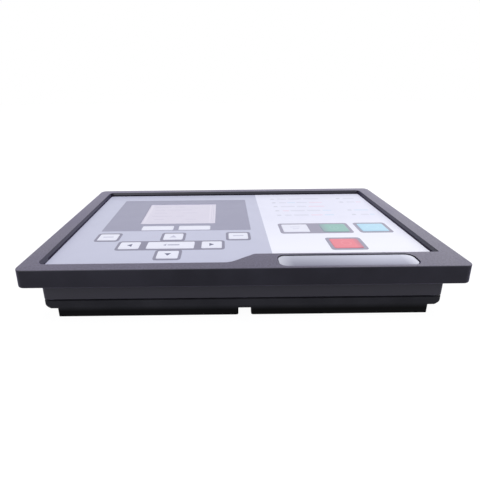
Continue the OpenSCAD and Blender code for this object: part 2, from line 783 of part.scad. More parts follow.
module keypad_circuit() {
    bend_z = z_seat + circuit_t - tail_bend_r;
    color([0.75, 0.70, 0.55]) difference() {
        union() {
            translate([0, 0, z_seat]) linear_extrude(circuit_t) difference() {
                laminate_outline(2 * fit_gap);
                translate([tail_x, tail_y]) square([tail_w + 4 * fit_gap, tail_slot_d], center = true);
            }
            // the tail leaves the film at the slot's far edge and turns down through it
            translate([tail_x - tail_w / 2, tail_y, 0]) rotate([90, 0, 90]) linear_extrude(tail_w) {
                translate([tail_bend_r, z_seat]) square([tail_slot_d, circuit_t]);
                translate([0, z_tail]) square([circuit_t, bend_z - z_tail]);
                intersection() {
                    translate([tail_bend_r, bend_z]) difference() {
                        circle(r = tail_bend_r);
                        circle(r = tail_bend_r - circuit_t);
                    }
                    translate([0, bend_z]) square(tail_bend_r);
                }
            }
        }
        lens_opening(z_seat - cut, z_spacer_back + cut);
    }
}

module indicator_leds() {
    color([0.95, 0.90, 0.70]) for (p = lamps)
        box_at(p.x, p.y, led_w, led_d, z_spacer_back, z_spacer_back + led_h);
}

// Display stack

module display_lens() {
    color([0.85, 0.85, 0.92, 0.4])
        box_at(view_x, view_y, lens_w, lens_d, z_seat, z_film_back);
}

module dust_ring() {
    color([0.12, 0.12, 0.12]) difference() {
        box_at(view_x, view_y, display_w, display_d, z_frame, z_thin);
        aperture(z_frame - cut, z_thin + cut);
    }
}

// Sheet steel frame with twisted tabs that hold it to the display's board
module display_frame() {
    color([0.72, 0.73, 0.75]) {
        difference() {
            box_at(view_x, view_y, display_w, display_d, z_display_board, z_frame);
            box_at(view_x, view_y, display_w - 2 * frame_t, display_d - 2 * frame_t,
                z_display_board - cut, z_glass);
            box_at(view_x, view_y, view_w + 2 * frame_window_gap, view_d + 2 * frame_window_gap,
                z_glass - cut, z_frame + cut);
        }
        for (sx = [-1, 1], sy = [-1, 1])
            box_at(view_x + sx * tab_step / 2, view_y + sy * (display_d - frame_t) / 2,
                tab_w, frame_t, z_display_board - board_t - tab_l, z_display_board + fuse);
    }
}

module display_glass() {
    color([0.80, 0.78, 0.86]) box_at(view_x, view_y, display_w - 2 * frame_t - fit_gap,
        display_d - 2 * frame_t - fit_gap, z_backlight, z_glass);
}

module backlight() {
    color([0.96, 0.96, 0.94]) box_at(view_x, view_y, display_w - 2 * frame_t - fit_gap,
        display_d - 2 * frame_t - fit_gap, z_display_board, z_backlight);
}

module display_board() {
    color(board_green) difference() {
        box_at(view_x, view_y, display_w + 2 * ear_w, display_d + 2 * board_edge,
            z_display_board - board_t, z_display_board);
        for (p = display_screw_places)
            post(p.x, p.y, board_screw_d + 2 * hole_gap,
                z_display_board - board_t - cut, z_display_board + cut);
        for (sx = [-1, 1], sy = [-1, 1])
            box_at(view_x + sx * tab_step / 2, view_y + sy * (display_d - frame_t) / 2,
                tab_w + 2 * fit_gap, frame_t + 2 * fit_gap,
                z_display_board - board_t - cut, z_display_board + cut);
    }
}

module display_screws() {
    color([0.75, 0.75, 0.78]) for (p = display_screw_places)
        screw_up(p.x, p.y, z_display_board - board_t,
            board_screw_d, board_screw_l, board_head_d, board_head_h);
}

module display_header() {
    color([0.08, 0.08, 0.09])
        box_at(view_x, view_y + display_d / 2 - stack_header_inset - stack_header_d / 2,
            stack_header_w, stack_header_d, z_main, z_display_board - board_t);
}

// Main board and what it carries

module main_board() {
    color(board_green) difference() {
        slab(board_w, board_d, board_corner_r, z_main_back, z_main);
        for (p = board_screw_places)
            post(p.x, p.y, board_screw_d + 2 * hole_gap, z_main_back - cut, z_main + cut);
        for (p = cover_screw_places)
            post(p.x, p.y, cover_boss_d + 4 * fit_gap, z_main_back - cut, z_main + cut);
    }
}

module board_screws() {
    color([0.75, 0.75, 0.78]) for (p = board_screw_places)
        screw_up(p.x, p.y, z_main_back, board_screw_d, board_screw_l, board_head_d, board_head_h);
}

module board_chips() {
    color([0.10, 0.10, 0.11]) for (c = chips)
        box_at(c.x, c.y, c[2], c[2], z_main, z_main + chip_h);
}

module board_capacitors() {
    color([0.30, 0.32, 0.40]) for (i = [0:2])
        post(run_x + run_step, view_y + (i - 1) * capacitor_step, capacitor_d, z_main, z_main + capacitor_h);
}

module power_inductor() {
    color([0.25, 0.22, 0.20]) {
        for (z = [z_main, z_main + inductor_h - inductor_flange_t])
            box_at(run_x + run_step, part_row_y, inductor_w, inductor_w, z, z + inductor_flange_t);
        post(run_x + run_step, part_row_y, inductor_w - 2 * inductor_flange_t, z_main, z_main + inductor_h);
    }
}

module tail_socket() {
    color([0.88, 0.86, 0.80]) difference() {
        box_at(tail_x, tail_y + circuit_t / 2, tail_w + 2 * tail_socket_side, tail_socket_d,
            z_main, z_main + tail_socket_h);
        box_at(tail_x, tail_y + circuit_t / 2, tail_w + 2 * fit_gap, circuit_t + 2 * fit_gap,
            z_tail, z_main + tail_socket_h + cut);
    }
}

// Headers: shrouds that open to the rear, on the back of the main board

module header_shroud(x, y, w, d) {
    difference() {
        box_at(x, y, w + 2 * shroud_t, d + 2 * shroud_t, z_header, z_main_back);
        box_at(x, y, w, d, z_header - cut, z_header + socket_h);
        // polarising slot in the shroud's near wall
        box_at(x, y - d / 2 - shroud_t / 2, polar_w, 2 * shroud_t, z_header - cut, z_header + polar_h);
    }
}

module power_header() {
    color([0.14, 0.14, 0.16]) difference() {
        header_shroud(power_x, header_y, power_w, power_cavity_d);
        power_pins(2 * thread_gap);
    }
}

module power_pins(gap) {
    for (i = [0:power_ways - 1], j = [-1, 1])
        box_at(power_x + (i - (power_ways - 1) / 2) * power_pitch, header_y + j * power_pitch / 2,
            pin_w + gap, pin_w + gap, z_header + pin_sink, z_main_back);
}

module power_contacts() {
    color([0.80, 0.72, 0.45]) power_pins(0);
}

module signal_header() {
    color([0.16, 0.42, 0.24]) difference() {
        header_shroud(signal_x, header_y, signal_w, signal_cavity_d);
        signal_pins(2 * thread_gap);
    }
}

module signal_pins(gap) {
    for (i = [0:signal_ways - 1])
        box_at(signal_x + (i - (signal_ways - 1) / 2) * signal_pitch, header_y,
            pin_w + gap, pin_w + gap, z_header + pin_sink, z_main_back);
}

module signal_contacts() {
    color([0.80, 0.72, 0.45]) signal_pins(0);
}

// Rear cover

module cover_elevation() {
    z_side = z_cover + side_relief;
    half = body_w / 2;
    polygon([
        [-half, z_split], [-half, z_side + side_chamfer_h], [-half + side_chamfer_w, z_side],
        [-foot_x, z_side], [-foot_x, z_cover], [foot_x, z_cover], [foot_x, z_side],
        [half - side_chamfer_w, z_side], [half, z_side + side_chamfer_h], [half, z_split]
    ]);
}

module foot_wall() {
    // section of the wall, outer face at y = 0, with its lower edges chamfered
    wall = [
        [0, foot_chamfer], [foot_chamfer, 0], [foot_t - foot_chamfer, 0],
        [foot_t, foot_chamfer], [foot_t, z_cover + fuse], [0, z_cover + fuse]
    ];
    translate([-foot_x, -body_d / 2, 0]) rotate([90, 0, 90]) linear_extrude(2 * foot_x) polygon(wall);
    for (s = [-1, 1])
        box_at(s * (foot_x - foot_t / 2), -body_d / 2 + foot_return / 2, foot_t, foot_return,
            foot_chamfer, z_cover + fuse);
}

module notch_cut() {
    foot = notch_w / 2 + notch_lead + cut;
    translate([notch_x, body_d, 0]) rotate([90, 0, 0]) linear_extrude(2 * body_d) polygon([
        [-foot, -cut], [-notch_w / 2, notch_lead], [-notch_w / 2, z_cover],
        [notch_w / 2, z_cover], [notch_w / 2, notch_lead], [foot, -cut]
    ]);
}

// The tray, with its screw bosses left standing in the hollow
module cover_shell() {
    wall = wall_t + fit_gap + lip_t;
    difference() {
        intersection() {
            translate([0, body_d / 2, 0]) rotate([90, 0, 0]) linear_extrude(body_d) cover_elevation();
            slab(body_w, body_d, body_corner_r, z_cover - cut, z_split + cut);
        }
        difference() {
            slab(body_w - 2 * wall, body_d - 2 * wall, inner_corner_r,
                z_cover + cover_floor_t, z_split + cut);
            for (p = cover_screw_places)
                post(p.x, p.y, cover_boss_d + 2 * boss_step, z_cover, z_split + 2 * cut);
        }
    }
}

module locating_lip() {
    lip_w = inner_w - 2 * fit_gap;
    lip_d = inner_d - 2 * fit_gap;
    difference() {
        box_at(0, 0, lip_w, lip_d, z_split - fuse, z_split + lip_h);
        box_at(0, 0, lip_w - 2 * lip_t, lip_d - 2 * lip_t, z_split - 2 * fuse, z_split + lip_h + cut);
        for (p = cover_screw_places)
            box_at(p.x, p.y, cover_boss_d + 4 * fit_gap, cover_boss_d + 4 * fit_gap,
                z_split, z_split + lip_h + cut);
    }
}

module header_opening(x, w, d) {
    box_at(x, header_y, w + 2 * shroud_t + 2 * fit_gap, d + 2 * shroud_t + 2 * fit_gap,
        z_header - cut, z_cover + cover_floor_t + cut);
}

// Raised collar round a header's opening, level with the header's mouth
module header_collar(x, w, d) {
    grow = 2 * (shroud_t + fit_gap + collar_w);
    box_at(x, header_y, w + grow, d + grow, z_header, z_cover + fuse);
}

// Low ribs on the cover's floor: rows beside the headers and above them, and cross ribs
module cover_ribs() {
    z0 = z_cover + cover_floor_t - fuse;
    z1 = z_cover + cover_floor_t + rib_h;
    first_y = header_y + rib_from_header;
    for (y = [header_y - rib_from_header, first_y, first_y + rib_step_y, first_y + 2 * rib_step_y])
        box_at(0, y, inner_w - 2 * lip_t, rib_t, z0, z1);
    for (x = [-rib_step_x, 0, rib_step_x])
        box_at(x, first_y + rib_step_y, rib_t, 2 * rib_step_y, z0, z1);
}

module rear_cover() {
    color(black_plastic) difference() {
        union() {
            cover_shell();
            locating_lip();
            cover_ribs();
            // flat round seats for the corner screws' heads, beside the chamfers
            for (p = cover_screw_places)
                post(p.x, p.y, cover_head_d + 2 * hole_gap, z_cover + side_relief,
                    z_cover + side_relief + side_chamfer_h);
            for (a = [0, 180]) rotate(a) foot_wall();
            header_collar(power_x, power_w, power_cavity_d);
            header_collar(signal_x, signal_w, signal_cavity_d);
        }
        notch_cut();
        header_opening(power_x, power_w, power_cavity_d);
        header_opening(signal_x, signal_w, signal_cavity_d);
        for (p = cover_screw_places)
            post(p.x, p.y, cover_screw_d + 2 * hole_gap, z_cover - cut, z_split + cut);
    }
}

module cover_screws() {
    color([0.78, 0.78, 0.80]) for (p = cover_screw_places)
        screw_up(p.x, p.y, z_cover + (p.x == notch_x ? 0 : side_relief),
            cover_screw_d, cover_screw_l, cover_head_d, cover_head_h);
}

// Panel mounting

module panel_gasket() {
    color([0.07, 0.07, 0.08]) difference() {
        slab(panel_w - 2 * seat_wall - 2 * fit_gap, panel_d - 2 * seat_wall - 2 * fit_gap,
            seat_corner_r - fit_gap, z_step - gasket_t, z_step);
        slab(body_w + 2 * fit_gap, body_d + 2 * fit_gap, body_corner_r + fit_gap,
            z_step - gasket_t - cut, z_step + cut);
        for (p = insert_places) post(p.x, p.y, gasket_hole_d, z_step - gasket_t - cut, z_step + cut);
    }
}

module panel_inserts() {
    color([0.80, 0.66, 0.35]) for (p = insert_places) difference() {
        post(p.x, p.y, insert_d, z_step, z_step + insert_l);
        post(p.x, p.y, insert_bore_d, z_step - cut, z_step + insert_l + cut);
    }
}

front_bezel();
graphic_overlay();
badge_plate();
keypad_spacer();
snap_domes();
keypad_circuit();
indicator_leds();
display_lens();
dust_ring();
display_frame();
display_glass();
backlight();
display_board();
display_screws();
display_header();
main_board();
board_screws();
board_chips();
board_capacitors();
power_inductor();
tail_socket();
power_header();
power_contacts();
signal_header();
signal_contacts();
rear_cover();
cover_screws();
panel_gasket();
panel_inserts();
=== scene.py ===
import math
import bmesh
import bpy
from mathutils import Matrix, Vector


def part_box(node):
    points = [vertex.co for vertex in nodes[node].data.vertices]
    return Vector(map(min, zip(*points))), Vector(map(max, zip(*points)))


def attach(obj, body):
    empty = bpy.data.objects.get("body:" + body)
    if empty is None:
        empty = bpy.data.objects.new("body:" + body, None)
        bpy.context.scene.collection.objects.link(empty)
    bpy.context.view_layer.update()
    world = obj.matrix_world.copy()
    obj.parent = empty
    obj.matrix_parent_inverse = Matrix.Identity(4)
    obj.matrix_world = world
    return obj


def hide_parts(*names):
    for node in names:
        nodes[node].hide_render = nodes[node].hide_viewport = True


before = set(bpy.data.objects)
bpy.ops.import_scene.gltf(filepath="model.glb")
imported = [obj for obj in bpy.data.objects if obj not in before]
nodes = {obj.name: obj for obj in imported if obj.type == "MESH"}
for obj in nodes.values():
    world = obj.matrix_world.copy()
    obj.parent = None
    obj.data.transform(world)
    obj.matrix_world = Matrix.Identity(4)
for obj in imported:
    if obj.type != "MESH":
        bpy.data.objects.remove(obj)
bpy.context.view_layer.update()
mm = 0.001
print("frame loaded:", len(nodes), "nodes")

# places that the frame gives, in metres
rimLow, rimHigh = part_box("front_bezel")
filmLow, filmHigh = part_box("graphic_overlay")
lensLow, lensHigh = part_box("display_lens")
badgeLow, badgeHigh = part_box("badge_plate")
badgeMiddle = (badgeLow.x + badgeHigh.x) / 2
viewX = (lensLow.x + lensHigh.x) / 2
viewY = (lensLow.y + lensHigh.y) / 2


def srgb(red, green, blue):
    channels = [c / 255 for c in (red, green, blue)]
    return tuple(c / 12.92 if c < 0.04045 else ((c + 0.055) / 1.055) ** 2.4 for c in channels) + (1.0,)


# camera, at the photograph's viewing angle

camera = {
    "lens": 26.36,
    "sensor": 36,
    "shiftX": 0.0346,
    "shiftY": -0.084,
    "place": (-0.0119, -0.2734, 0.1443),
    "pitch": 17.85,  # degrees below the horizon
    "roll": -0.65,
    "nearest": 0.01,
    "farthest": 50,
}


def makeCamera():
    data = bpy.data.cameras.new("camera")
    data.lens = camera["lens"]
    data.sensor_width = camera["sensor"]
    data.shift_x = camera["shiftX"]
    data.shift_y = camera["shiftY"]
    data.clip_start = camera["nearest"]
    data.clip_end = camera["farthest"]
    obj = bpy.data.objects.new("camera", data)
    bpy.context.scene.collection.objects.link(obj)
    tilt = Matrix.Rotation(math.radians(90 - camera["pitch"]), 4, "X")
    turn = Matrix.Rotation(math.radians(camera["roll"]), 4, "Z")
    obj.matrix_world = Matrix.Translation(camera["place"]) @ tilt @ turn
    bpy.context.scene.camera = obj
    print("camera made")


makeCamera()


# shader node helpers

def newGroup(name, inputs, outputs):
    group = bpy.data.node_groups.new(name, "ShaderNodeTree")
    for label, kind, value in inputs:
        socket = group.interface.new_socket(label, in_out="INPUT", socket_type="NodeSocket" + kind)
        socket.default_value = value
    for label, kind in outputs:
        group.interface.new_socket(label, in_out="OUTPUT", socket_type="NodeSocket" + kind)
    return group, group.nodes.new("NodeGroupInput"), group.nodes.new("NodeGroupOutput")


def addNode(tree, kind, **settings):
    node = tree.nodes.new("ShaderNode" + kind)
    for key, value in settings.items():
        setattr(node, key, value)
    return node


def feed(tree, socket, value):
    # a socket takes either a plain value or a link
    if isinstance(value, (int, float, tuple)):
        socket.default_value = value
    else:
        tree.links.new(value, socket)


def mathNode(tree, operation, first, second=None):
    node = addNode(tree, "Math", operation=operation)
    feed(tree, node.inputs[0], first)
    if second is not None:
        feed(tree, node.inputs[1], second)
    return node.outputs[0]


def mixColour(tree, factor, first, second):
    node = addNode(tree, "Mix", data_type="RGBA", blend_type="MIX")
    for socket, value in zip((node.inputs[0], node.inputs[6], node.inputs[7]), (factor, first, second)):
        feed(tree, socket, value)
    return node.outputs[2]


def scaledPlace(tree, scale):
    # the object's own coordinates, in metres, times a scale
    place = addNode(tree, "TexCoord").outputs["Object"]
    node = addNode(tree, "VectorMath", operation="SCALE")
    tree.links.new(place, node.inputs[0])
    feed(tree, node.inputs["Scale"], scale)
    return node.outputs[0]


def splitPlace(tree, scale=1.0):
    # the same, as separate outputs X, Y and Z
    split = addNode(tree, "SeparateXYZ")
    tree.links.new(scaledPlace(tree, scale), split.inputs[0])
    return split.outputs


def noiseNode(tree, place, scale, detail=3.0, roughness=0.5):
    node = addNode(tree, "TexNoise")
    tree.links.new(place, node.inputs["Vector"])
    node.inputs["Scale"].default_value = scale
    node.inputs["Detail"].default_value = detail
    node.inputs["Roughness"].default_value = roughness
    return node.outputs[0]


def mapRange(tree, value, low, high, fromLow=0.0, fromHigh=1.0):
    node = addNode(tree, "MapRange")
    tree.links.new(value, node.inputs["Value"])
    for label, number in zip(("From Min", "From Max", "To Min", "To Max"), (fromLow, fromHigh, low, high)):
        node.inputs[label].default_value = number
    return node.outputs[0]


# effects that several materials share

grainLook = {
    "fineScale": 0.8,
    "fineDetail": 2.0,
    "fineShare": 0.6,
    "patchesPerMetre": 40.0,
    "patchDetail": 4.0,
}


def makeMouldedGrain():
    group, inside, outside = newGroup(
        "mouldedGrain",
        [("Grains per metre", "Float", 2500.0)],
        [("Height", "Float"), ("Patch", "Float")],
    )
    place = scaledPlace(group, inside.outputs[0])
    cells = addNode(group, "TexVoronoi", feature="SMOOTH_F1")
    cells.inputs["Scale"].default_value = 1.0
    group.links.new(place, cells.inputs["Vector"])
    fine = noiseNode(group, place, grainLook["fineScale"], grainLook["fineDetail"])
    fine = mathNode(group, "MULTIPLY", fine, grainLook["fineShare"])
    height = mathNode(group, "ADD", cells.outputs["Distance"], fine)
    patchPlace = scaledPlace(group, grainLook["patchesPerMetre"])
    patch = noiseNode(group, patchPlace, 1.0, grainLook["patchDetail"])
    group.links.new(height, outside.inputs["Height"])
    group.links.new(patch, outside.inputs["Patch"])
    return group


def makeSoftEdge():
    group, inside, outside = newGroup(
        "softEdge",
        [("Radius", "Float", 0.4 * mm), ("Gain", "Float", 2.5)],
        [("Normal", "Vector"), ("Edge", "Float")],
    )
    bevel = addNode(group, "Bevel", samples=6)
    group.links.new(inside.outputs["Radius"], bevel.inputs["Radius"])
    flat = addNode(group, "NewGeometry").outputs["Normal"]
    dot = addNode(group, "VectorMath", operation="DOT_PRODUCT")
    group.links.new(bevel.outputs[0], dot.inputs[0])
    group.links.new(flat, dot.inputs[1])
    away = mathNode(group, "SUBTRACT", 1.0, dot.outputs["Value"])
    edge = addNode(group, "Clamp")
    group.links.new(mathNode(group, "MULTIPLY", away, inside.outputs["Gain"]), edge.inputs[0])
    group.links.new(bevel.outputs[0], outside.inputs["Normal"])
    group.links.new(edge.outputs[0], outside.inputs["Edge"])
    return group


brushLook = {"detail": 5.0, "roughness": 0.65}


def makeBrushedLines():
    group, inside, outside = newGroup(
        "brushedLines",
        [("Lines per metre", "Float", 9000.0), ("Stretch", "Float", 0.01)],
        [("Lines", "Float")],
    )
    place = scaledPlace(group, inside.outputs["Lines per metre"])
    squeeze = addNode(group, "CombineXYZ")
    group.links.new(inside.outputs["Stretch"], squeeze.inputs[0])
    squeeze.inputs[1].default_value = 1.0
    squeeze.inputs[2].default_value = 1.0
    stretched = addNode(group, "VectorMath", operation="MULTIPLY")
    group.links.new(place, stretched.inputs[0])
    group.links.new(squeeze.outputs[0], stretched.inputs[1])
    lines = noiseNode(group, stretched.outputs[0], 1.0, brushLook["detail"], brushLook["roughness"])
    group.links.new(lines, outside.inputs["Lines"])
    return group


velvetLook = {"roughness": 0.6, "mottlesPerMetre": 90.0}


def makeVelvetFilm():
    group, inside, outside = newGroup(
        "velvetFilm",
        [("Grains per metre", "Float", 6000.0)],
        [("Height", "Float"), ("Mottle", "Float")],
    )
    place = scaledPlace(group, inside.outputs[0])
    height = noiseNode(group, place, 1.0, roughness=velvetLook["roughness"])
    group.links.new(height, outside.inputs["Height"])
    mottlePlace = scaledPlace(group, velvetLook["mottlesPerMetre"])
    group.links.new(noiseNode(group, mottlePlace, 1.0), outside.inputs["Mottle"])
    return group


paintedSheenLook = {
    "facing": (0.6, 0.98),  # upward part of the normal where the painted sheen starts and where it is full
    "speckDetail": 4.0,
    "speckRoughness": 0.7,
    "specks": (0.38, 0.62),
    "leastSpeck": 0.35,
    "patchesPerMetre": 25.0,
    "patches": (0.3, 0.7),
    "leastPatch": 0.8,
}


def makeUpFacingSheen():
    # painted sheen: a paler colour on the faces that look up, broken by fine specks
    group, inside, outside = newGroup(
        "upFacingSheen",
        [("Specks per metre", "Float", 900.0)],
        [("Mask", "Float")],
    )
    split = addNode(group, "SeparateXYZ")
    group.links.new(addNode(group, "NewGeometry").outputs["Normal"], split.inputs[0])
    facing = mapRange(group, split.outputs["Z"], 0.0, 1.0, *paintedSheenLook["facing"])
    speckPlace = scaledPlace(group, inside.outputs[0])
    specks = noiseNode(group, speckPlace, 1.0, paintedSheenLook["speckDetail"], paintedSheenLook["speckRoughness"])
    patch = noiseNode(group, scaledPlace(group, paintedSheenLook["patchesPerMetre"]), 1.0)
    specks = mapRange(group, specks, paintedSheenLook["leastSpeck"], 1.0, *paintedSheenLook["specks"])
    patch = mapRange(group, patch, paintedSheenLook["leastPatch"], 1.0, *paintedSheenLook["patches"])
    broken = mathNode(group, "MULTIPLY", specks, patch)
    group.links.new(mathNode(group, "MULTIPLY", facing, broken), outside.inputs["Mask"])
    return group


groups = {
    "grain": makeMouldedGrain(),
    "paintedSheen": makeUpFacingSheen(),
    "edge": makeSoftEdge(),
    "brushed": makeBrushedLines(),
    "velvet": makeVelvetFilm(),
}
print("shader groups made")


# material helpers

def useGroup(tree, name, **values):
    node = tree.nodes.new("ShaderNodeGroup")
    node.node_tree = groups[name]
    for label, value in values.items():
        node.inputs[label.replace("_", " ")].default_value = value
    return node


def newMaterial(name, **values):
    material = bpy.data.materials.new(name)
    material.use_nodes = True
    tree = material.node_tree
    shader = tree.nodes["Principled BSDF"]
    for label, value in values.items():
        shader.inputs[label.replace("_", " ")].default_value = value
    return material, tree, shader


def addBump(tree, shader, height, strength, distance, normal=None):
    bump = addNode(tree, "Bump")
    bump.inputs["Strength"].default_value = strength
    bump.inputs["Distance"].default_value = distance
    tree.links.new(height, bump.inputs["Height"])
    if normal is not None:
        tree.links.new(normal, bump.inputs["Normal"])
    tree.links.new(bump.outputs[0], shader.inputs["Normal"])


def tinted(colour, factor, extra=0.0):
    return tuple(min(1.0, c * factor + extra) for c in colour[:3]) + (1.0,)


# moulded plastic, with painted highlights along its edges, and, where they are asked for, a painted sheen
# on faces that look up, colours by height and painted shade in the recess

mouldingLook = {
    "paler": (1.35, 0.004),  # factor and extra of the patches' colour
    "patches": (0.35, 0.65),
    # colour factor and extra of the painted highlight along the edges
    "paintedEdgeHighlight": (2.0, 0.02),
    "roughnessSpread": 0.05,
    "roughnessPatches": (0.3, 0.7),
    "bump": 0.35,
}
recess = {
    "margin": 0.7 * mm,  # its walls stand this far outside the film
    "near": -64 * mm,  # near end of the painted shade on its walls
}


def recessShadeMask(tree, place):
    # 1 in the bezel's recess, whose walls get a painted shade darker than the rim
    away = mathNode(tree, "ABSOLUTE", place["X"])
    sides = mathNode(tree, "LESS_THAN", away, filmHigh.x + recess["margin"])
    far = mathNode(tree, "LESS_THAN", place["Y"], filmHigh.y + recess["margin"])
    near = mathNode(tree, "GREATER_THAN", place["Y"], recess["near"])
    return mathNode(tree, "MULTIPLY", mathNode(tree, "MULTIPLY", sides, far), near)


def mouldedPlastic(name, colour, roughness, grains=2600.0, depth=0.02, edgeRadius=0.3, edgeLight=0.35,
                   paintedSheen=0.0, paintedSheenColour=None, below=(), recessShade=None, **values):
    # below has a start, an end and a colour for each height, in mm, which on the cover paints shade towards
    # the floor; the recess colour is painted shade
    material, tree, shader = newMaterial(name, **values)
    grain = useGroup(tree, "grain", Grains_per_metre=grains)
    edge = useGroup(tree, "edge", Radius=edgeRadius * mm)
    patch = grain.outputs["Patch"]
    paler = tinted(colour, *mouldingLook["paler"])
    shade = mixColour(tree, mapRange(tree, patch, 0.0, 1.0, *mouldingLook["patches"]), colour, paler)
    spread = mouldingLook["roughnessSpread"]
    dull = mapRange(tree, patch, roughness - spread, roughness + spread, *mouldingLook["roughnessPatches"])
    if below or recessShade:
        place = splitPlace(tree)
    for start, end, other in below:
        shade = mixColour(tree, mapRange(tree, place["Z"], 0.0, 1.0, start * mm, end * mm), shade, other)
    if recessShade:
        # painted shade on the recess walls, which also lose their gloss
        inside = recessShadeMask(tree, place)
        shade = mixColour(tree, inside, shade, recessShade)
        dull = mathNode(tree, "MAXIMUM", dull, inside)
    # painted highlight along the edges
    paintedEdgeHighlight = tinted(colour, *mouldingLook["paintedEdgeHighlight"])
    shade = mixColour(tree, mathNode(tree, "MULTIPLY", edge.outputs["Edge"], edgeLight), shade, paintedEdgeHighlight)
    # painted sheen on the faces that look up
    if paintedSheen:
        paintedSheenMask = useGroup(tree, "paintedSheen").outputs["Mask"]
        shade = mixColour(tree, mathNode(tree, "MULTIPLY", paintedSheenMask, paintedSheen), shade, paintedSheenColour)
    tree.links.new(shade, shader.inputs["Base Color"])
    tree.links.new(dull, shader.inputs["Roughness"])
    addBump(tree, shader, grain.outputs["Height"], mouldingLook["bump"], depth * mm, edge.outputs["Normal"])
    return material


# velvet film, printed in one colour that may change along one axis; on the white field that change is
# painted light, and the green and red keys turn darker towards one side

filmLook = {
    "specular": 0.4,
    "mottle": 0.05,
    "roughnessSpread": 0.04,
    "bump": 0.25,
    "bumpDepth": 0.008 * mm,
}


def printedFilm(name, colour, roughness=0.42, fade=None):
    # fade is an axis and a stretch along it, from the other colour to the film's own
    material, tree, shader = newMaterial(name, Specular_IOR_Level=filmLook["specular"])
    velvet = useGroup(tree, "velvet")
    mottle = velvet.outputs["Mottle"]
    shade = mixColour(tree, mottle, colour, tinted(colour, 1 - filmLook["mottle"]))
    if fade:
        axis, start, end, other = fade
        reach = mapRange(tree, splitPlace(tree)[axis], 0.0, 1.0, start, end)
        shade = mixColour(tree, reach, other, shade)
    tree.links.new(shade, shader.inputs["Base Color"])
    spread = filmLook["roughnessSpread"]
    dull = mapRange(tree, mottle, roughness - spread, roughness + spread)
    tree.links.new(dull, shader.inputs["Roughness"])
    addBump(tree, shader, velvet.outputs["Height"], filmLook["bump"], filmLook["bumpDepth"])
    return material


# brushed metal; on the badge, painted shade darkens the near edge and painted highlights lighten both ends

metalLook = {
    "edgeRadius": 0.15 * mm,
    "darker": 0.82,
    "roughnessSpread": 0.08,
    "bump": 0.2,
    "bumpDepth": 0.004 * mm,
}
badgePaintedLight = {
    "margin": 1 * mm,  # the painted shade starts and is full this far inside the far and the near edge
    # reach and strength of the painted highlights at both ends
    "endReach": 9 * mm,
    "endShare": 0.7,
}


def brushedMetal(name, colour, roughness, lines, stretch, fade=None, paintedEndHighlight=None):
    # fade is the painted shade that the badge's near edge turns to, and the end colour is the painted
    # highlight on its two ends
    material, tree, shader = newMaterial(name, Metallic=1.0)
    brushed = useGroup(tree, "brushed", Lines_per_metre=lines, Stretch=stretch).outputs["Lines"]
    edge = useGroup(tree, "edge", Radius=metalLook["edgeRadius"])
    shade = mixColour(tree, brushed, tinted(colour, metalLook["darker"]), colour)
    if fade:
        place = splitPlace(tree)
        far, near = badgeHigh.y - badgePaintedLight["margin"], badgeLow.y + badgePaintedLight["margin"]
        shade = mixColour(tree, mapRange(tree, place["Y"], 0.0, 1.0, far, near), shade, fade)
        away = mathNode(tree, "ABSOLUTE", mathNode(tree, "SUBTRACT", place["X"], badgeMiddle))
        half = (badgeHigh.x - badgeLow.x) / 2
        reach = mapRange(tree, away, 0.0, badgePaintedLight["endShare"], half - badgePaintedLight["endReach"], half)
        shade = mixColour(tree, reach, shade, paintedEndHighlight)
    tree.links.new(shade, shader.inputs["Base Color"])
    spread = metalLook["roughnessSpread"]
    dull = mapRange(tree, brushed, roughness - spread, roughness + spread)
    tree.links.new(dull, shader.inputs["Roughness"])
    addBump(tree, shader, brushed, metalLook["bump"], metalLook["bumpDepth"], edge.outputs["Normal"])
    return material


# anti-glare window with the display's dots just behind it

windowLook = {
    "specular": 0.5,
    "roughness": 0.28,
    "dotsPerMetre": 2200.0,
    "dotEdge": 0.43,  # from a dot's middle to the line between dots, in steps from dot to dot
    "lineShare": 0.35,
    "lineColour": srgb(196, 190, 210),
    "tints": (srgb(212, 209, 227), srgb(219, 214, 230)),
    "grainsPerMetre": 4000.0,
    "bump": 0.1,
    "bumpDepth": 0.004 * mm,
}


def windowMaterial():
    material, tree, shader = newMaterial("displayWindow", Specular_IOR_Level=windowLook["specular"],
                                         Roughness=windowLook["roughness"])
    place = splitPlace(tree, windowLook["dotsPerMetre"])
    dots = []
    for axis in ("X", "Y"):
        within = mathNode(tree, "FRACT", place[axis])
        away = mathNode(tree, "ABSOLUTE", mathNode(tree, "SUBTRACT", within, 0.5))
        dots.append(mathNode(tree, "GREATER_THAN", away, windowLook["dotEdge"]))
    lines = mathNode(tree, "MAXIMUM", *dots)
    velvet = useGroup(tree, "velvet", Grains_per_metre=windowLook["grainsPerMetre"])
    tint = mixColour(tree, velvet.outputs["Mottle"], *windowLook["tints"])
    lines = mathNode(tree, "MULTIPLY", lines, windowLook["lineShare"])
    tree.links.new(mixColour(tree, lines, tint, windowLook["lineColour"]), shader.inputs["Base Color"])
    addBump(tree, shader, velvet.outputs["Height"], windowLook["bump"], windowLook["bumpDepth"])
    return material


# the materials themselves

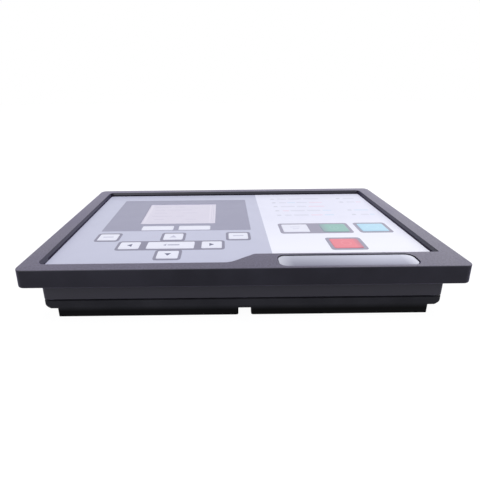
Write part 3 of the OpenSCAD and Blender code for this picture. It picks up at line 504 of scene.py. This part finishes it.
plastics = {
    "bezel": mouldedPlastic("bezelPlastic", srgb(30, 29, 42), 0.34,
                            # painted sheen on the faces that look up
                            paintedSheen=0.62, paintedSheenColour=srgb(118, 113, 138),
                            # paler below the rim's underside, and painted shade on the recess walls
                            below=[(27.7, 27.3, srgb(72, 71, 82))], recessShade=srgb(16, 9, 26),
                            Sheen_Weight=0.6, Sheen_Roughness=0.35, Sheen_Tint=srgb(205, 192, 255)),
    # painted shade: the cover turns darker towards the floor
    "cover": mouldedPlastic("coverPlastic", srgb(50, 50, 57), 0.5, Specular_IOR_Level=0.15,
                            below=[(8.0, 4.5, srgb(10, 10, 13)), (2.0, 0.2, srgb(2, 2, 3))]),
    "black": mouldedPlastic("connectorBlack", srgb(38, 38, 42), 0.45, edgeRadius=0.15),
    "green": mouldedPlastic("connectorGreen", srgb(52, 122, 74), 0.42, edgeRadius=0.15),
    "ivory": mouldedPlastic("connectorIvory", srgb(226, 221, 205), 0.4, edgeRadius=0.15),
    "chip": mouldedPlastic("chipPlastic", srgb(34, 34, 36), 0.55, edgeRadius=0.1),
    "rubber": mouldedPlastic("foamRubber", srgb(30, 30, 32), 0.85,
                             grains=1800.0, depth=0.08, edgeRadius=0.2),
    "spacer": mouldedPlastic("spacerFilm", srgb(228, 228, 224), 0.4, edgeRadius=0.05),
    "backlight": mouldedPlastic("backlightPlastic", srgb(240, 240, 236), 0.3, edgeRadius=0.1),
    "led": mouldedPlastic("lampResin", srgb(240, 228, 190), 0.2, edgeRadius=0.1),
    "board": mouldedPlastic("circuitBoard", srgb(36, 108, 62), 0.38, grains=1500.0, edgeRadius=0.1),
    "circuit": mouldedPlastic("circuitFilm", srgb(204, 190, 150), 0.3, edgeRadius=0.05),
    "sleeve": mouldedPlastic("capacitorSleeve", srgb(52, 56, 72), 0.35),
    "ferrite": mouldedPlastic("inductorFerrite", srgb(62, 58, 56), 0.6, edgeRadius=0.2),
}
metals = {
    # painted shade towards the near edge and painted highlights at both ends
    "badge": brushedMetal("badgeAluminium", srgb(196, 198, 215), 0.38, 7000.0, 0.02,
                          fade=srgb(142, 143, 160), paintedEndHighlight=srgb(216, 218, 230)),
    "steel": brushedMetal("sheetSteel", srgb(198, 199, 203), 0.3, 4000.0, 0.05),
    "zinc": brushedMetal("zincScrew", srgb(204, 205, 210), 0.28, 3000.0, 1.0),
    "brass": brushedMetal("turnedBrass", srgb(214, 190, 122), 0.28, 3000.0, 1.0),
    "dome": brushedMetal("domeSteel", srgb(205, 205, 200), 0.25, 3000.0, 1.0),
}
films = {
    "grey": printedFilm("filmGrey", srgb(191, 193, 215)),
    "field": printedFilm("filmField", srgb(150, 150, 173)),
    # paler towards the near edge: painted light
    "white": printedFilm("filmWhite", srgb(225, 226, 244), fade=("Y", -0.05, 0.01, srgb(235, 236, 249))),
    "outline": printedFilm("filmOutline", srgb(133, 132, 153)),
    "runOutline": printedFilm("filmRunOutline", srgb(152, 150, 170)),
    "keyWhite": printedFilm("keyWhite", srgb(227, 228, 243)),
    "keyGreen": printedFilm("keyGreen", srgb(144, 185, 180), fade=("X", 0.062, 0.071, srgb(140, 144, 162))),
    "keyRed": printedFilm("keyRed", srgb(227, 131, 145), fade=("X", 0.0855, 0.0815, srgb(186, 122, 142))),
    "keyCyan": printedFilm("keyCyan", srgb(179, 216, 238)),
    "mark": printedFilm("filmMark", srgb(98, 100, 128)),
    "softMark": printedFilm("filmSoftMark", srgb(158, 159, 184)),
    "paleMark": printedFilm("filmPaleMark", srgb(190, 190, 212)),
    "faint": printedFilm("filmFaint", srgb(212, 213, 231)),
    "pink": printedFilm("filmPink", srgb(227, 214, 233)),
    "blue": printedFilm("filmBlue", srgb(210, 220, 241)),
    "lampWindow": printedFilm("filmLampWindow", srgb(216, 217, 234), roughness=0.25),
    "startMark": printedFilm("filmStartMark", srgb(155, 193, 189)),
    "autoMark": printedFilm("filmAutoMark", srgb(187, 223, 242)),
    "stopMark": printedFilm("filmStopMark", srgb(231, 142, 155)),
    "displayImage": printedFilm("displayImage", srgb(211, 207, 225), roughness=0.3),
    "displayRow": printedFilm("displayRow", srgb(201, 197, 217), roughness=0.3),
}
window = windowMaterial()
print("materials made")

# the finish of each of the frame's own nodes
nodeFinish = {
    "front_bezel": plastics["bezel"],
    "graphic_overlay": films["grey"],
    "badge_plate": metals["badge"],
    "keypad_spacer": plastics["spacer"],
    "snap_domes": metals["dome"],
    "keypad_circuit": plastics["circuit"],
    "indicator_leds": plastics["led"],
    "display_lens": window,
    "dust_ring": plastics["rubber"],
    "display_frame": metals["steel"],
    "display_glass": window,
    "backlight": plastics["backlight"],
    "display_board": plastics["board"],
    "display_screws": metals["zinc"],
    "display_header": plastics["black"],
    "main_board": plastics["board"],
    "board_screws": metals["zinc"],
    "board_chips": plastics["chip"],
    "board_capacitors": plastics["sleeve"],
    "power_inductor": plastics["ferrite"],
    "tail_socket": plastics["ivory"],
    "power_header": plastics["black"],
    "power_contacts": metals["brass"],
    "signal_header": plastics["green"],
    "signal_contacts": metals["brass"],
    "rear_cover": plastics["cover"],
    "cover_screws": metals["zinc"],
    "panel_gasket": plastics["rubber"],
    "panel_inserts": metals["brass"],
}
for name, finish in nodeFinish.items():
    nodes[name].data.materials.clear()
    nodes[name].data.materials.append(finish)


# mesh helpers

sharpAngle = 40  # degrees between faces of a pad or plate that stay sharp
leastRadius = 0.05 * mm


def addPiece(name, mesh, material):
    obj = bpy.data.objects.new(name, mesh)
    bpy.context.scene.collection.objects.link(obj)
    mesh.materials.append(material)
    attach(obj, "root")
    return obj


def smoothUpTo(mesh, angle):
    for face in mesh.polygons:
        face.use_smooth = True
    mesh.set_sharp_from_angle(angle=math.radians(angle))


def arcPoints(x, y, radius, start, end, steps):
    angles = [math.radians(start + (end - start) * i / steps) for i in range(steps + 1)]
    return [(x + radius * math.cos(a), y + radius * math.sin(a)) for a in angles]


def roundedLoop(x, y, width, depth, radius, steps=6):
    points = []
    for i, (sx, sy) in enumerate(((1, 1), (-1, 1), (-1, -1), (1, -1))):
        points += arcPoints(x + sx * (width / 2 - radius), y + sy * (depth / 2 - radius), radius,
                            90 * i, 90 * (i + 1), steps)
    return points


def flatPiece(name, loops, low, high, material, rounding=0.0):
    # a sheet with the given outlines, the first the outer one, from height low to high
    curve = bpy.data.curves.new(name, "CURVE")
    curve.dimensions = "2D"
    curve.fill_mode = "BOTH"
    curve.extrude = (high - low) / 2 - rounding
    curve.bevel_depth = rounding
    curve.bevel_resolution = 2
    curve.offset = -rounding
    for loop in loops:
        spline = curve.splines.new("POLY")
        spline.points.add(len(loop) - 1)
        for point, (x, y) in zip(spline.points, loop):
            point.co = (x, y, 0, 1)
        spline.use_cyclic_u = True
    helper = bpy.data.objects.new(name + "Curve", curve)
    bpy.context.scene.collection.objects.link(helper)
    mesh = bpy.data.meshes.new_from_object(helper.evaluated_get(bpy.context.evaluated_depsgraph_get()))
    bpy.data.objects.remove(helper)
    mesh.transform(Matrix.Translation((0, 0, (high + low) / 2)))
    mesh.name = name
    mesh.materials.clear()
    return addPiece(name, mesh, material)


def loftPiece(name, rings, material):
    # rings is a list of closed rows of points with as many points each, from low to high
    mesh = bpy.data.meshes.new(name)
    bm = bmesh.new()
    rows = [[bm.verts.new(p) for p in ring] for ring in rings]
    count = len(rows[0])
    for low, high in zip(rows, rows[1:]):
        for i in range(count):
            j = (i + 1) % count
            bm.faces.new((low[i], low[j], high[j], high[i]))
    bm.faces.new(rows[-1])
    bm.faces.new(list(reversed(rows[0])))
    bm.to_mesh(mesh)
    bm.free()
    smoothUpTo(mesh, sharpAngle)
    return addPiece(name, mesh, material)


def padRings(x, y, width, depth, radius, profile):
    # profile is a list of insets and heights, from low to high
    rings = []
    for inset, height in profile:
        corner = max(radius - inset, leastRadius)
        loop = roundedLoop(x, y, width - 2 * inset, depth - 2 * inset, corner)
        rings.append([(px, py, height) for px, py in loop])
    return rings


# bezel and rear cover, with the small edge radii of a moulding

softening = {
    "width": 0.35 * mm,
    "segments": 2,
    "angle": 32,  # degrees between faces from which an edge is rounded
    "weld": 0.001 * mm,
    "flat": 0.5,  # degrees under which faces count as one
}


def softenedCopy(name, node, material):
    mesh = nodes[node].data.copy()
    mesh.name = name
    mesh.materials.clear()
    bm = bmesh.new()
    bm.from_mesh(mesh)
    bmesh.ops.remove_doubles(bm, verts=bm.verts, dist=softening["weld"])
    flat = math.radians(softening["flat"])
    bmesh.ops.dissolve_limit(bm, angle_limit=flat, verts=bm.verts, edges=bm.edges)
    bm.to_mesh(mesh)
    bm.free()
    if "custom_normal" in mesh.attributes:
        mesh.attributes.remove(mesh.attributes["custom_normal"])
    obj = addPiece(name, mesh, material)
    bevel = obj.modifiers.new("softEdges", "BEVEL")
    bevel.width = softening["width"]
    bevel.segments = softening["segments"]
    bevel.limit_method = "ANGLE"
    bevel.angle_limit = math.radians(softening["angle"])
    bevel.use_clamp_overlap = True
    bevel.harden_normals = True
    smoothUpTo(mesh, softening["angle"])
    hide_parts(node)


softenedCopy("bezelMoulding", "front_bezel", plastics["bezel"])
softenedCopy("coverMoulding", "rear_cover", plastics["cover"])
print("mouldings made")


# graphic overlay: the film and its print

overlay = {
    "emboss": 0.4 * mm,
    "filmThickness": 0.4 * mm,
    "filmRounding": 0.05 * mm,
    "ink": 0.03 * mm,
    "sink": 0.02 * mm,  # how far each print reaches into what is below it
    "greyWidth": 148.6 * mm,
    "gap": 0.3 * mm,
    "shelfX": -8.2 * mm,
    "shelfDepth": 19.6 * mm,
    "rimNear": 8.2 * mm,
    "slope": 35,
    "footRadius": 12 * mm,
    "footRun": 1.5 * mm,
    "crestRadius": 5 * mm,
    "cornerRadius": 2.7 * mm,
    "viewWidth": 62.5 * mm,
    "viewDepth": 52.5 * mm,
    "viewRadius": 0.6 * mm,
    "viewLap": 0.4 * mm,
    "sillDepth": 2 * mm,
    "fieldWidth": 117.8 * mm,
    "fieldShift": 0.6 * mm,
    "fieldFar": 25 * mm,
    "fieldDepth": 77 * mm,
    "fieldRadius": 1 * mm,
}
filmTop = filmHigh.z - overlay["emboss"]
inkTop = filmTop + overlay["ink"]
padTop = filmTop + overlay["emboss"]
greyEdge = filmLow.x - overlay["gap"] + overlay["greyWidth"]


def filmPrint(name, loops, low, high, colour):
    flatPiece(name, loops, low, high, films[colour])


def shoulderPoints():
    # the film's near edge climbs over the badge shelf in an S
    gap = overlay["gap"]
    footRadius, crestRadius = overlay["footRadius"], overlay["crestRadius"]
    base = rimLow.y + overlay["rimNear"]
    shelfY = rimLow.y + overlay["shelfDepth"]
    slope = math.radians(overlay["slope"])
    footX = overlay["shelfX"] - footRadius * math.tan(slope / 2)
    crestX = overlay["shelfX"] + (shelfY - base) / math.tan(slope) + crestRadius * math.tan(slope / 2)
    foot = arcPoints(footX, base + footRadius, footRadius - gap, -90, overlay["slope"] - 90, 8)
    crest = arcPoints(crestX, shelfY - crestRadius, crestRadius + gap, 90 + overlay["slope"], 90, 8)
    return [p for p in foot if p[1] > filmLow.y] + crest


def filmLoop(left):
    # outline of the film right of x = left
    radius = overlay["cornerRadius"]
    shoulder = shoulderPoints()
    points = []
    if left <= filmLow.x:
        points += arcPoints(filmLow.x + radius, filmHigh.y - radius, radius, 90, 180, 6)
        points += arcPoints(filmLow.x + radius, filmLow.y + radius, radius, 180, 270, 6)
        points += [(shoulder[0][0] - overlay["footRun"], filmLow.y)] + shoulder
    else:
        points += [(left, filmHigh.y)]
        points += [(left, shoulder[-1][1])] if left > shoulder[-1][0] else [(left, filmLow.y)] + shoulder
    points += [(filmHigh.x, shoulder[-1][1])]
    points += arcPoints(filmHigh.x - radius, filmHigh.y - radius, radius, 0, 90, 6)
    return points


def makeFilm():
    width, depth, radius = overlay["viewWidth"], overlay["viewDepth"], overlay["viewRadius"]
    sill = overlay["sillDepth"]
    hole = roundedLoop(viewX, viewY, width, depth, radius, 3)
    under = filmTop - overlay["filmThickness"]
    film = flatPiece("overlayFilm", [filmLoop(filmLow.x), hole], under, filmTop,
                     films["grey"], overlay["filmRounding"])
    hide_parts("graphic_overlay")
    low = filmTop - overlay["sink"]
    filmPrint("whiteField", [filmLoop(greyEdge)], low, inkTop, "white")
    fieldX = viewX + overlay["fieldShift"]
    fieldY = rimHigh.y - overlay["fieldFar"] - overlay["fieldDepth"] / 2
    field = roundedLoop(fieldX, fieldY, overlay["fieldWidth"], overlay["fieldDepth"],
                        overlay["fieldRadius"], 3)
    inner = roundedLoop(viewX, viewY + sill / 2, width - overlay["viewLap"], depth - sill, radius, 3)
    filmPrint("displayField", [field, inner], low, inkTop, "field")


makeFilm()


# keys: soft pads and the printed outlines round them

keypad = {
    "radius": 1.2 * mm,
    "skirt": [(0.0, -0.02), (0.0, 0.02), (0.06, 0.12), (0.2, 0.26)],  # inset and height over the ink, in mm
    "crown": [(0.42, 0.03), (0.8, 0.005), (2.4, 0.0)],  # inset and depth under the pad's top, in mm
    "outline": 2 * mm,
    "runOutline": 2.6 * mm,
    "outlineRound": 1.2 * mm,
    "outlineLap": 0.4 * mm,
    "outlineLift": 0.03 * mm,
    "rowLift": 0.02 * mm,  # lower than the single outlines, which overlap it by a hair
    "navWidth": 14.6 * mm,
    "navDepth": 11.2 * mm,
    "enterWidth": 34 * mm,
    "navStepX": 29.4 * mm,
    "navStepY": 15 * mm,
    "outerStepX": 49 * mm,
    "navFromNear": 41.1 * mm,
    "softWidth": 25.4 * mm,
    "softDepth": 8.4 * mm,
    "softStep": 29.4 * mm,
    "softFromNear": 73.2 * mm,
    "runWidth": 20.6 * mm,
    "runDepth": 15.4 * mm,
    "runStep": 30.6 * mm,
    "stopStep": 29 * mm,
    "runFromNear": 70 * mm,
    "runFromRight": 64.4 * mm,
}
navY = rimLow.y + keypad["navFromNear"]
softY = rimLow.y + keypad["softFromNear"]
runX = rimHigh.x - keypad["runFromRight"]
runY = rimLow.y + keypad["runFromNear"]
keys = {
    "keySoftLeft": (viewX - keypad["softStep"] / 2, softY, "soft", "keyWhite"),
    "keySoftRight": (viewX + keypad["softStep"] / 2, softY, "soft", "keyWhite"),
    "keyHome": (viewX - keypad["outerStepX"], navY + keypad["navStepY"], "nav", "keyWhite"),
    "keyUp": (viewX, navY + keypad["navStepY"], "nav", "keyWhite"),
    "keyBack": (viewX + keypad["outerStepX"], navY + keypad["navStepY"], "nav", "keyWhite"),
    "keyLeft": (viewX - keypad["navStepX"], navY, "nav", "keyWhite"),
    "keyEnter": (viewX, navY, "enter", "keyWhite"),
    "keyRight": (viewX + keypad["navStepX"], navY, "nav", "keyWhite"),
    "keyDown": (viewX, navY - keypad["navStepY"], "nav", "keyWhite"),
    "keyManual": (runX - keypad["runStep"], runY, "run", "keyWhite"),
    "keyStart": (runX, runY, "run", "keyGreen"),
    "keyAuto": (runX + keypad["runStep"], runY, "run", "keyCyan"),
    "keyStop": (runX, runY - keypad["stopStep"], "run", "keyRed"),
}
keySizes = {
    "soft": (keypad["softWidth"], keypad["softDepth"]),
    "nav": (keypad["navWidth"], keypad["navDepth"]),
    "enter": (keypad["enterWidth"], keypad["navDepth"]),
    "run": (keypad["runWidth"], keypad["runDepth"]),
}
# each printed outline and the keys that it goes round
outlines = {
    "outlineHome": ["keyHome"],
    "outlineUp": ["keyUp"],
    "outlineBack": ["keyBack"],
    "outlineDown": ["keyDown"],
    "outlineRow": ["keyLeft", "keyEnter", "keyRight"],
    "outlineRun": ["keyManual", "keyStart"],
    "outlineAuto": ["keyAuto"],
    "outlineStop": ["keyStop"],
}


def makeKeys():
    profile = [(inset * mm, inkTop + height * mm) for inset, height in keypad["skirt"]]
    profile += [(inset * mm, padTop - drop * mm) for inset, drop in keypad["crown"]]
    for name, (x, y, kind, colour) in keys.items():
        rings = padRings(x, y, *keySizes[kind], keypad["radius"], profile)
        loftPiece(name, rings, films[colour])


def makeOutlines():
    lap = keypad["outlineLap"]
    for name, members in outlines.items():
        leftX, y, kind = keys[members[0]][:3]
        rightX = keys[members[-1]][0]
        width, depth = keySizes[kind]
        isRun = kind == "run"
        line = keypad["runOutline"] if isRun else keypad["outline"]
        loops = [roundedLoop((leftX + rightX) / 2, y, rightX - leftX + width + 2 * line, depth + 2 * line,
                             keypad["radius"] + keypad["outlineRound"], 4)]
        for member in members:
            x, y, kind = keys[member][:3]
            width, depth = keySizes[kind]
            loops.append(roundedLoop(x, y, width - lap, depth - lap, keypad["radius"], 4))
        lift = keypad["rowLift"] if len(members) > 1 else keypad["outlineLift"]
        colour = "runOutline" if isRun else "outline"
        filmPrint(name, loops, inkTop - overlay["sink"], inkTop + lift, colour)


makeKeys()
makeOutlines()


# marks printed on the film and the keys: plain arrows, bars, rings and rows of dashes

marks = {
    "thickness": 0.02 * mm,
    "arrow": 3.4 * mm,
    "arrowDepth": 4.6 * mm,
    "upArrowScale": 1.2,
    "bar": 1.5 * mm,
    "barRound": 0.3,  # of the bar's lesser side
    "enterBar": 8.6 * mm,
    "enterBarShift": 0.6,  # of the arrow
    "enterHead": (0.7, 0.75),  # of the arrow and its depth
    "dash": 8 * mm,
    "manualBars": [(2 * mm, 8 * mm), (-1.6 * mm, 5 * mm)],  # distance from the key's middle, and length
    "line": 0.9 * mm,
    "ring": 7.5 * mm,
    "ringPoints": 24,
    "autoRingScale": 1.3,
    "startBar": 4 * mm,
    "strokes": [(12.4 * mm, 6 * mm), (14.2 * mm, 3.5 * mm), (16 * mm, 6 * mm)],  # the same, from the up key
    "strokeShift": 1 * mm,
}


def triangleLoop(x, y, width, depth, turn):
    points = [(-width / 2, 0), (width / 2, depth / 2), (width / 2, -depth / 2)]
    c, s = math.cos(math.radians(turn)), math.sin(math.radians(turn))
    return [(x + px * c - py * s, y + px * s + py * c) for px, py in points]


def barLoop(x, y, width, depth):
    return roundedLoop(x, y, width, depth, marks["barRound"] * min(width, depth), 2)


def ringLoops(x, y, width, depth):
    loops = []
    count = marks["ringPoints"]
    angles = [math.radians(360 / count * i) for i in range(count)]
    for inset in (0.0, marks["line"]):
        across, along = width / 2 - inset, depth / 2 - inset
        loops.append([(x + across * math.cos(a), y + along * math.sin(a)) for a in angles])
    return loops


def markOn(name, loops, colour, height):
    filmPrint(name, loops, height - marks["thickness"], height + marks["thickness"], colour)


def makeKeyMarks():
    arrow, arrowDepth, bar = marks["arrow"], marks["arrowDepth"], marks["bar"]
    line, ring = marks["line"], marks["ring"]
    for name, turn in (("keyLeft", 0), ("keyRight", 180), ("keyDown", 90)):
        x, y = keys[name][:2]
        markOn(name + "Mark", [triangleLoop(x, y, arrow, arrowDepth, turn)], "mark", padTop)
    upX, upY = keys["keyUp"][:2]
    scale = marks["upArrowScale"]
    upArrow = triangleLoop(upX, upY, scale * arrow, scale * arrowDepth, -90)
    markOn("keyUpMark", [upArrow], "paleMark", padTop)
    x, y = keys["keyEnter"][:2]
    headWidth, headDepth = marks["enterHead"]
    head = triangleLoop(x - marks["enterBar"] / 2, y, headWidth * arrow, headDepth * arrowDepth, 0)
    tail = barLoop(x + marks["enterBarShift"] * arrow, y, marks["enterBar"], bar)
    markOn("keyEnterMark", [head, tail], "softMark", padTop)
    for name in ("keyHome", "keyBack"):
        x, y = keys[name][:2]
        markOn(name + "Mark", [barLoop(x, y, marks["dash"], bar)], "paleMark", padTop)
    strokeY = upY + marks["strokeShift"]
    strokes = [barLoop(upX - away, strokeY, line, length) for away, length in marks["strokes"]]
    markOn("upKeyStrokes", strokes, "paleMark", filmTop)
    x, y = keys["keyManual"][:2]
    bars = [barLoop(x, y + away, length, bar) for away, length in marks["manualBars"]]
    markOn("keyManualMark", bars, "faint", padTop)
    x, y = keys["keyStart"][:2]
    startLoops = ringLoops(x, y, ring, ring) + [barLoop(x, y, line, marks["startBar"])]
    markOn("keyStartMark", startLoops, "startMark", padTop)
    x, y = keys["keyAuto"][:2]
    markOn("keyAutoMark", ringLoops(x, y, marks["autoRingScale"] * ring, ring), "autoMark", padTop)
    x, y = keys["keyStop"][:2]
    markOn("keyStopMark", ringLoops(x, y, ring, ring), "stopMark", padTop)


makeKeyMarks()


# lamp windows in their frames, with rows of dashes beside them

indicators = {
    "fromGrey": 16 * mm,
    "fromRight": 25.6 * mm,
    "fromFar": 24 * mm,
    "step": 11.5 * mm,
    "width": 3 * mm,
    "depth": 2 * mm,
    "frame": 0.6 * mm,
    "dashDepth": 3 * mm,
    "sink": 0.01 * mm,
    "lift": 0.02 * mm,
    "rows": {"left": (0, 1, 2, 3, 4), "right": (0, 1, 3, 4)},  # rows with a lamp
}
# for each side and colour, a dash's start and length from the lamp, in mm, and its row
legendRows = {
    "left": {
        "faint": [(5, 9, 0), (16, 13, 0), (31, 15, 0), (5, 7, 1), (22, 10, 1), (5, 13, 2), (20, 9, 2),
                  (12, 13, 3), (27, 12, 3), (5, 6, 4), (13, 13, 4)],
        "pink": [(34, 13, 1), (31, 15, 2), (5, 6, 3), (28, 10, 4)],
        "blue": [(13, 8, 1), (41, 8, 3), (40, 8, 4)],
    },
    "right": {
        "faint": [(5, 11, 0), (5, 8, 1), (6, 7, 4)],
        "pink": [(14, 5, 1)],
        "blue": [(4, 13, 3), (14, 4, 4)],
    },
}


def makeIndicators():
    low, high = inkTop - indicators["sink"], inkTop + indicators["lift"]
    sides = {
        "left": greyEdge + indicators["fromGrey"],
        "right": filmHigh.x + overlay["gap"] - indicators["fromRight"],
    }
    farY = rimHigh.y - indicators["fromFar"]
    step, width, depth, rim = (indicators[key] for key in ("step", "width", "depth", "frame"))
    places = [(x, farY - row * step) for side, x in sides.items() for row in indicators["rows"][side]]
    for i, (x, y) in enumerate(places, 1):
        outer = barLoop(x, y, width + 2 * rim, depth + 2 * rim)
        inner = barLoop(x, y, width, depth)
        filmPrint("lampFrame" + str(i), [outer, inner], low, high, "faint")
        filmPrint("lampWindow" + str(i), [inner], low, high, "lampWindow")
    for side, x in sides.items():
        for colour, dashes in legendRows[side].items():
            loops = []
            for start, length, row in dashes:
                middle = x + (start + length / 2) * mm
                loops.append(barLoop(middle, farY - row * step, length * mm, indicators["dashDepth"]))
            filmPrint(side + "Rows" + colour.capitalize(), loops, low, high, colour)


makeIndicators()


# lit area behind the window, with faint rows

display = {
    "left": 3.4 * mm,
    "right": 5.8 * mm,
    "near": 5 * mm,
    "far": 1.6 * mm,
    "radius": 0.4 * mm,
    "thickness": 0.02 * mm,
    "rowThickness": 0.01 * mm,
    "rowDepth": 1.3 * mm,
    "rows": [(3, 14, 6), (20, 9, 6), (3, 9, 14), (15, 22, 14), (4, 11, 22), (29, 13, 22), (3, 18, 30),
             (24, 7, 30), (6, 9, 38), (33, 9, 38)],  # start, length and distance from the far edge, in mm
    "line": 0.5 * mm,
    "lines": (2 * mm, 3.6 * mm),  # upright lines right of the area
}


def makeDisplayImage():
    low, high = lensHigh.z, lensHigh.z + display["thickness"]
    x0 = viewX - overlay["viewWidth"] / 2 + display["left"]
    x1 = viewX + overlay["viewWidth"] / 2 - display["right"]
    y0 = viewY - overlay["viewDepth"] / 2 + display["near"]
    y1 = viewY + overlay["viewDepth"] / 2 - display["far"]
    middleY = (y0 + y1) / 2
    area = roundedLoop((x0 + x1) / 2, middleY, x1 - x0, y1 - y0, display["radius"], 2)
    flatPiece("displayImage", [area], low, high, films["displayImage"])
    loops = [barLoop(x0 + (start + length / 2) * mm, y1 - down * mm, length * mm, display["rowDepth"])
             for start, length, down in display["rows"]]
    loops += [barLoop(x1 + away, middleY, display["line"], y1 - y0) for away in display["lines"]]
    flatPiece("displayRows", loops, high - display["rowThickness"], high + display["rowThickness"],
              films["displayRow"])


makeDisplayImage()
print("overlay made")


# bare badge plate, slightly crowned, with rolled edges

badge = {
    "radius": 5 * mm,
    "rise": 0.7 * mm,
    "endGap": 0.4 * mm,
    # inset and depth under the plate's top, in mm
    "crown": [(0.0, 0.34), (0.08, 0.22), (0.25, 0.12), (0.6, 0.06), (1.4, 0.02), (3.0, 0.0)],
}


def makeBadge():
    x, y = badgeMiddle - badge["endGap"] / 2, (badgeLow.y + badgeHigh.y) / 2
    width, depth = badgeHigh.x - badgeLow.x - badge["endGap"], badgeHigh.y - badgeLow.y
    top = badgeHigh.z + badge["rise"]
    profile = [(0.0, badgeLow.z)] + [(inset * mm, top - drop * mm) for inset, drop in badge["crown"]]
    plate = loftPiece("badgePlate", padRings(x, y, width, depth, badge["radius"], profile),
                      metals["badge"])
    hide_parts("badge_plate")
    print("badge made")


makeBadge()


# studio: pale floor, white surroundings and soft lamps

studio = {
    "floorSize": 6.0,
    "floorLevel": -0.02 * mm,
    "floorGlow": 0.95,
    "floorMirror": 0.2,
    "floorColour": srgb(98, 98, 101),
    "surround": 0.45,
}
lamps = {
    "overheadLamp": {"place": (0.1, 0.15, 1.1), "size": 1.2, "power": 9.0, "mirrored": False},
    "frontLamp": {"place": (-0.6, -1.2, 0.7), "size": 1.0, "power": 4.0, "mirrored": True},
    "farLamp": {"place": (0.85, 1.0, 0.6), "size": 0.7, "power": 0.9, "mirrored": True},
}


def makeFloor():
    half = studio["floorSize"] / 2
    low = studio["floorLevel"]
    mesh = bpy.data.meshes.new("studioFloor")
    corners = [(-half, -half, low), (half, -half, low), (half, half, low), (-half, half, low)]
    mesh.from_pydata(corners, [], [(0, 1, 2, 3)])
    floor = bpy.data.objects.new("studioFloor", mesh)
    bpy.context.scene.collection.objects.link(floor)
    material, tree, shader = newMaterial("floorPaper", Roughness=1.0, Specular_IOR_Level=0.0)
    shader.inputs["Base Color"].default_value = studio["floorColour"]
    path = addNode(tree, "LightPath")
    seen = mathNode(tree, "MAXIMUM", path.outputs["Is Camera Ray"], path.outputs["Is Transmission Ray"])
    mirrored = mathNode(tree, "MULTIPLY", path.outputs["Is Glossy Ray"], studio["floorMirror"])
    glow = mathNode(tree, "MULTIPLY", seen, studio["floorGlow"])
    shader.inputs["Emission Color"].default_value = (1, 1, 1, 1)
    tree.links.new(mathNode(tree, "MAXIMUM", glow, mirrored), shader.inputs["Emission Strength"])
    mesh.materials.append(material)


def makeWorld():
    world = bpy.data.worlds.new("surroundings")
    world.use_nodes = True
    bpy.context.scene.world = world
    tree = world.node_tree
    path = addNode(tree, "LightPath")
    seen = mathNode(tree, "MAXIMUM", path.outputs["Is Camera Ray"], path.outputs["Is Glossy Ray"])
    seen = mathNode(tree, "MAXIMUM", seen, path.outputs["Is Transmission Ray"])
    strength = mathNode(tree, "MAXIMUM", seen, studio["surround"])
    background = tree.nodes["Background"]
    background.inputs["Color"].default_value = (1, 1, 1, 1)
    tree.links.new(strength, background.inputs["Strength"])


def makeLamps():
    for name, lamp in lamps.items():
        data = bpy.data.lights.new(name, "AREA")
        data.shape = "SQUARE"
        data.size = lamp["size"]
        data.energy = lamp["power"]
        obj = bpy.data.objects.new(name, data)
        bpy.context.scene.collection.objects.link(obj)
        obj.location = lamp["place"]
        obj.visible_glossy = lamp["mirrored"]
        obj.rotation_euler = (-Vector(lamp["place"])).to_track_quat("-Z", "Y").to_euler()


makeFloor()
makeWorld()
makeLamps()
bpy.context.scene.view_settings.view_transform = "Standard"
print("studio made")
